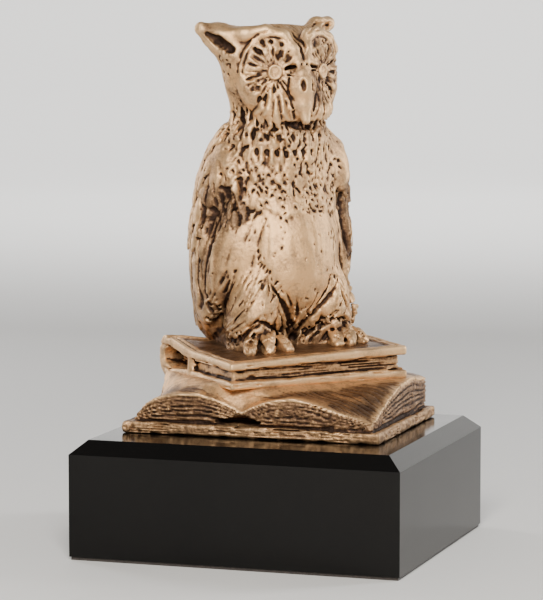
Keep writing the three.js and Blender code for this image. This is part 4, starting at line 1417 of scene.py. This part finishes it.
def make_open_book():
    """The open pages on their cover."""
    left, right, front, back = OPEN_LOW[0], OPEN_HIGH[0], OPEN_LOW[1], OPEN_HIGH[1]
    clay = Clay((left - 3, front - 3, -1.2), (right + 3, back + 3, 17.5), BOOK_STEP)
    clay.add(block((left, front, .03), (right, back, COVER_THICK), .8), 0)
    curl = [(left + 1.4, front + .9, 1.75), (left + 1.4, back - .9, 1.75)]
    clay.add(limb(curl[0], curl[1], 1.7, 1.7), .5)
    clay.add(page_block(), .35)
    # the dark gap under the gutter, and the lines where the pages lift off the cover
    clay.cut(ellipsoid((GUTTER_X - 1.2, front + .6, 4.6), (7.0, 6.5, 1.25)), .4)
    clay.cut(ellipsoid((GUTTER_X, front + .2, 5.3), (3.0, 4.0, 1.3)), .5)
    for x0, x1, z0, z1 in ((left + 3.5, GUTTER_X - 5, 3.8, 4.2), (GUTTER_X + 4, right - 3, 4.1, 3.5)):
        clay.cut(limb((x0, PAGE_FRONT - .1, z0), (x1, PAGE_FRONT - .1, z1), .42, .5), .2)
    clay.cut(limb((PAGE_RIGHT + .1, PAGE_FRONT, 3.6), (PAGE_RIGHT + .1, PAGE_BACK, 3.7), .45, .5), .2)
    # the cover's curled left end
    turns = np.radians(np.arange(-60, 250, 24))
    curl = np.stack([left + 2.1 + 1.05 * np.cos(turns), 0 * turns + front - 2, 1.9 + 1.0 * np.sin(turns)], -1)
    clay.gouge(clay.land(curl, (0, 1.0, 0)), .3, .5, .1)
    clay.relief(open_book_relief)
    place = Matrix.Translation((0, 0, PLINTH_TOP * MM)) @ Matrix.Scale(MM, 4)
    return cast("open_book_casting", clay, place, open_book_stain_and_shade, open_book_tone)


# ---------------------------------------------------------------- the plinth
RIM = 6 * MM                        # the chamfer lies within this of the block's sides
EASED = .55 * MM                    # width of the eased edges


def make_plinth():
    """The CAD block with its outer edges eased, holes and all."""
    source = frame["nodes"]["plinth"]
    low, high = (np.array(v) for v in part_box("plinth"))
    middle, half = (low + high) / 2, (high - low) / 2
    form = bmesh.new()
    form.from_mesh(source.data)
    form.transform(source.matrix_world)
    bmesh.ops.dissolve_limit(form, angle_limit=math.radians(1), verts=form.verts, edges=form.edges)

    def outer(vertex):
        """Whether a corner is on the block's outside rather than in a bore."""
        away = (abs(vertex.co.x - middle[0]) - half[0], abs(vertex.co.y - middle[1]) - half[1])
        return min(abs(away[0]), abs(away[1])) < RIM and max(away) > -RIM
    edges = [e for e in form.edges if len(e.link_faces) == 2 and e.calc_face_angle(0) > math.radians(20)
             and all(outer(v) for v in e.verts) and e.calc_length() > 3 * MM]
    bmesh.ops.bevel(form, geom=edges, offset=EASED, segments=4, profile=.6, affect="EDGES",
                    clamp_overlap=True)
    bmesh.ops.triangulate(form, faces=[f for f in form.faces if len(f.verts) > 4])
    mesh = bpy.data.meshes.new("plinth_block")
    form.to_mesh(mesh)
    form.free()
    smooth(mesh)
    obj = link(bpy.data.objects.new("plinth_block", mesh))
    even = obj.modifiers.new("even", "WEIGHTED_NORMAL")
    even.keep_sharp = True
    return obj


PIECES = {
    "owl_casting": (make_owl, "owl_figure", "antique_bronze"),
    "closed_book_casting": (make_closed_book, "closed_book", "antique_bronze"),
    "open_book_casting": (make_open_book, "open_book", "antique_bronze"),
    "plinth_block": (make_plinth, "plinth", "black_lacquer"),
}
made = {}
for name, (make, node, slot) in PIECES.items():
    piece = made[name] = make()
    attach(piece, "root")
    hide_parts(node)


# ---------------------------------------------------------------- materials
def socket(node, name, value):
    """Sets a number or colour on a node's own socket."""
    node.inputs[name].default_value = value


class Nodes:
    """A short way to write a material's nodes."""

    def __init__(self, name):
        self.material = bpy.data.materials.new(name)
        self.material.use_nodes = True
        self.tree = self.material.node_tree
        self.bsdf = self.tree.nodes["Principled BSDF"]
        self.place = self.new("ShaderNodeTexCoord").outputs["Object"]

    def new(self, kind, **settings):
        node = self.tree.nodes.new(kind)
        for key, value in settings.items():
            setattr(node, key, value)
        return node

    def link(self, source, target):
        self.tree.links.new(source, target)

    def noise(self, scale, detail=3, roughness=0.55):
        """Noise fixed to the object, scale lumps to the metre."""
        node = self.new("ShaderNodeTexNoise")
        socket(node, "Scale", scale)
        socket(node, "Detail", detail)
        socket(node, "Roughness", roughness)
        self.link(self.place, node.inputs["Vector"])
        return node.outputs["Fac"]

    def attribute(self, name):
        return self.new("ShaderNodeAttribute", attribute_name=name).outputs["Fac"]

    def math(self, operation, a, b):
        node = self.new("ShaderNodeMath", operation=operation)
        for slot, value in zip(node.inputs, (a, b)):
            if isinstance(value, (int, float)):
                slot.default_value = value
            else:
                self.link(value, slot)
        return node.outputs[0]

    def ramp(self, factor, stops):
        node = self.new("ShaderNodeValToRGB")
        elements = node.color_ramp.elements
        while len(elements) < len(stops):
            elements.new(0.5)
        for element, (position, colour) in zip(elements, stops):
            element.position = position
            element.color = (*colour, 1)
        self.link(factor, node.inputs["Fac"])
        return node.outputs["Color"]

    def mix(self, factor, base, colour):
        """The base colour, turned to a fixed colour by a factor."""
        node = self.new("ShaderNodeMix", data_type="RGBA")
        self.link(factor, node.inputs[0])
        self.link(base, node.inputs[6])
        node.inputs[7].default_value = (*colour, 1)
        return node.outputs[2]

    def spread(self, value, low, high, to_low, to_high):
        """A value between low and high, moved to between to_low and to_high."""
        node = self.new("ShaderNodeMapRange")
        for name, number in (("From Min", low), ("From Max", high), ("To Min", to_low), ("To Max", to_high)):
            socket(node, name, number)
        self.link(value, node.inputs["Value"])
        return node.outputs["Result"]

    def bump(self, height, strength, distance):
        node = self.new("ShaderNodeBump")
        socket(node, "Strength", strength)
        socket(node, "Distance", distance)
        self.link(height, node.inputs["Height"])
        self.link(node.outputs["Normal"], self.bsdf.inputs["Normal"])


def bronze(name):
    """Pale bronze paint rubbed over a dark brown wash that stays in the hollows, with painted shade added to
    the wash in some recesses.
    """
    n = Nodes(name)
    tone = n.attribute("tone")
    wash_and_shade = n.attribute("wash_and_shade")
    blotch = n.spread(n.noise(200, 4), 0.35, 0.68, -0.09, 0.13)
    grit = n.spread(n.noise(1100, 4, 0.7), 0.42, 0.72, -0.07, 0.30)
    grit = n.math("MULTIPLY", grit, n.spread(wash_and_shade, 0, 0.5, 0.45, 1.0))
    rubbed = n.math("MULTIPLY", wash_and_shade, n.spread(n.noise(620, 3, 0.65), 0.36, 0.62, 0.62, 1.12))
    # the darkening: the wash, which carries painted shade in some recesses, plus blotches and grit
    stain_and_shade = n.math("ADD", n.math("ADD", rubbed, blotch), grit)
    brown = n.math("MULTIPLY", tone, n.spread(n.noise(130, 4), 0.3, 0.7, 0.22, 0.62))
    stain_and_shade = n.math("ADD", stain_and_shade, brown)
    colour = n.ramp(stain_and_shade, [(0.0, (0.74, 0.436, 0.198)), (0.12, (0.53, 0.315, 0.153)),
                            (0.34, (0.205, 0.112, 0.056)), (0.62, (0.078, 0.039, 0.022)),
                            (1.0, (0.030, 0.015, 0.009))])
    worn = n.math("MULTIPLY", n.attribute("edge"), n.spread(tone, 0, 1, 0.5, 0.15))
    n.link(n.mix(worn, colour, (0.95, 0.655, 0.357)), n.bsdf.inputs["Base Color"])
    n.link(n.math("SUBTRACT", n.spread(stain_and_shade, 0.0, 0.8, 0.44, 0.62), n.math("MULTIPLY", tone, 0.16)),
           n.bsdf.inputs["Roughness"])
    socket(n.bsdf, "Metallic", 0.8)
    n.bump(n.noise(900, 5, 0.7), 0.55, 0.0004)
    return n.material


def lacquer():
    """Black lacquer, faintly uneven in gloss."""
    n = Nodes("black lacquer")
    n.link(n.ramp(n.noise(25, 3), [(0.3, (0.0020, 0.0018, 0.0016)), (0.7, (0.0036, 0.0031, 0.0027))]),
           n.bsdf.inputs["Base Color"])
    n.link(n.spread(n.noise(60, 4), 0.35, 0.7, 0.12, 0.18), n.bsdf.inputs["Roughness"])
    socket(n.bsdf, "IOR", 1.3)
    n.bump(n.noise(18, 2), 0.03, 0.0006)
    return n.material


def felt():
    """Dark brown felt."""
    n = Nodes("felt")
    n.link(n.ramp(n.noise(1400, 5, .7), [(0.3, (0.010, 0.008, 0.007)), (0.75, (0.055, 0.042, 0.034))]),
           n.bsdf.inputs["Base Color"])
    socket(n.bsdf, "Roughness", 0.95)
    socket(n.bsdf, "Sheen Weight", 0.4)
    n.bump(n.noise(2600, 4, .7), 0.8, 0.0004)
    return n.material


def metal(name, dark, light, roughness):
    """A bare metal between two shades."""
    n = Nodes(name)
    n.link(n.ramp(n.noise(400, 4), [(0.3, dark), (0.7, light)]), n.bsdf.inputs["Base Color"])
    n.link(n.spread(n.noise(900, 3), 0.3, 0.7, roughness - .06, roughness + .08), n.bsdf.inputs["Roughness"])
    socket(n.bsdf, "Metallic", 1.0)
    n.bump(n.noise(2200, 2), 0.1, 0.0002)
    return n.material


FINISHES = {
    "antique_bronze": bronze("antique bronze"),
    "black_lacquer": lacquer(),
    "felt": felt(),
    "zinc_steel": metal("zinc plated steel", (0.50, 0.51, 0.53), (0.66, 0.67, 0.68), 0.3),
    "brass": metal("turned brass", (0.60, 0.43, 0.16), (0.78, 0.60, 0.27), 0.28),
}


def paint(obj, material):
    """Gives an object one material."""
    obj.data.materials.clear()
    obj.data.materials.append(material)


for name, (_, _, slot) in PIECES.items():
    paint(made[name], FINISHES[slot])
for row in frame["record"]["subparts"]:
    node = frame["nodes"][row["node"]]
    for holder in node.material_slots:
        holder.link = "OBJECT"
        holder.material = FINISHES[row["material_slot"]]


# ---------------------------------------------------------------- stage
FLOOR_REACH, FLOOR_BEND, WALL_TOP = 1.5, .7, 1.3
FLOOR_SIDES = 72


def stage_profile():
    """The edge of the flat floor, its curve upwards and a low wall: (radius, height) in metres."""
    bend = np.linspace(0, np.pi / 2, 13)
    curve = [(FLOOR_REACH + FLOOR_BEND * math.sin(a), FLOOR_BEND - FLOOR_BEND * math.cos(a))
             for a in bend[1:]]
    return [(FLOOR_REACH, 0.0)] + curve + [(FLOOR_REACH + FLOOR_BEND, WALL_TOP)]


floor_mesh = bpy.data.meshes.new("floor")
form = bmesh.new()
rings = []
for radius, height in stage_profile():
    rings.append([form.verts.new((radius * math.cos(a), radius * math.sin(a), height))
                  for a in np.linspace(0, 2 * np.pi, FLOOR_SIDES + 1)[:-1]])
centre = form.verts.new((0, 0, 0))
for i in range(FLOOR_SIDES):
    after = (i + 1) % FLOOR_SIDES
    form.faces.new((centre, rings[0][i], rings[0][after]))
    for below, above in zip(rings[:-1], rings[1:]):
        form.faces.new((below[i], above[i], above[after], below[after]))
bmesh.ops.recalc_face_normals(form, faces=form.faces)
form.to_mesh(floor_mesh)
form.free()
smooth(floor_mesh)
floor = link(bpy.data.objects.new("floor", floor_mesh))
pale = Nodes("pale floor")
tone = pale.ramp(pale.noise(3, 2), [(0.0, (0.74, 0.73, 0.71)), (1.0, (0.80, 0.79, 0.77))])
pale.link(tone, pale.bsdf.inputs["Base Color"])
socket(pale.bsdf, "Roughness", 0.75)
floor.data.materials.append(pale.material)

world = bpy.data.worlds.new("studio") if not bpy.context.scene.world else bpy.context.scene.world
bpy.context.scene.world = world
world.use_nodes = True
background = world.node_tree.nodes["Background"]
socket(background, "Color", (0.90, 0.91, 0.93, 1))
socket(background, "Strength", 0.22)


def softbox(name, place, aim, size, power, colour=(1, 1, 1)):
    """A rectangular lamp, its size in metres and power in watts, turned to face a point."""
    light = bpy.data.lights.new(name, "AREA")
    light.shape = "RECTANGLE"
    light.size, light.size_y = size
    light.energy = power
    light.color = colour
    lamp = bpy.data.objects.new(name, light)
    lamp.location = place
    lamp.rotation_euler = (Vector(aim) - Vector(place)).to_track_quat("-Z", "Y").to_euler()
    link(lamp)


AIM = (0, 0, 0.09)
softbox("key", (0.20, -0.70, 0.48), AIM, (0.30, 0.30), 10.0, (1.0, 0.96, 0.90))
softbox("left rim", (-0.62, 0.28, 0.30), AIM, (0.18, 0.55), 2.0, (0.98, 0.98, 1.0))
softbox("right rim", (0.62, 0.42, 0.30), AIM, (0.18, 0.55), 4.0, (0.96, 0.98, 1.0))
softbox("backdrop", (-0.2, 0.9, 0.9), (-0.5, 2.2, 0.3), (1.2, 0.6), 30.0)

# the camera: where the fitted view of the plinth's corners puts it
CAMERA = Vector((0.29247, -0.89254, 0.17781))
YAW, PITCH = math.radians(18.307), math.radians(6.358)
FOCAL = 190.9
lens = bpy.data.cameras.new("camera")
lens.lens = FOCAL
lens.sensor_width = 36
camera = bpy.data.objects.new("camera", lens)
camera.location = CAMERA
away = Vector((-math.sin(YAW) * math.cos(PITCH), math.cos(YAW) * math.cos(PITCH), -math.sin(PITCH)))
camera.rotation_euler = away.to_track_quat("-Z", "Y").to_euler()
link(camera)
bpy.context.scene.camera = camera
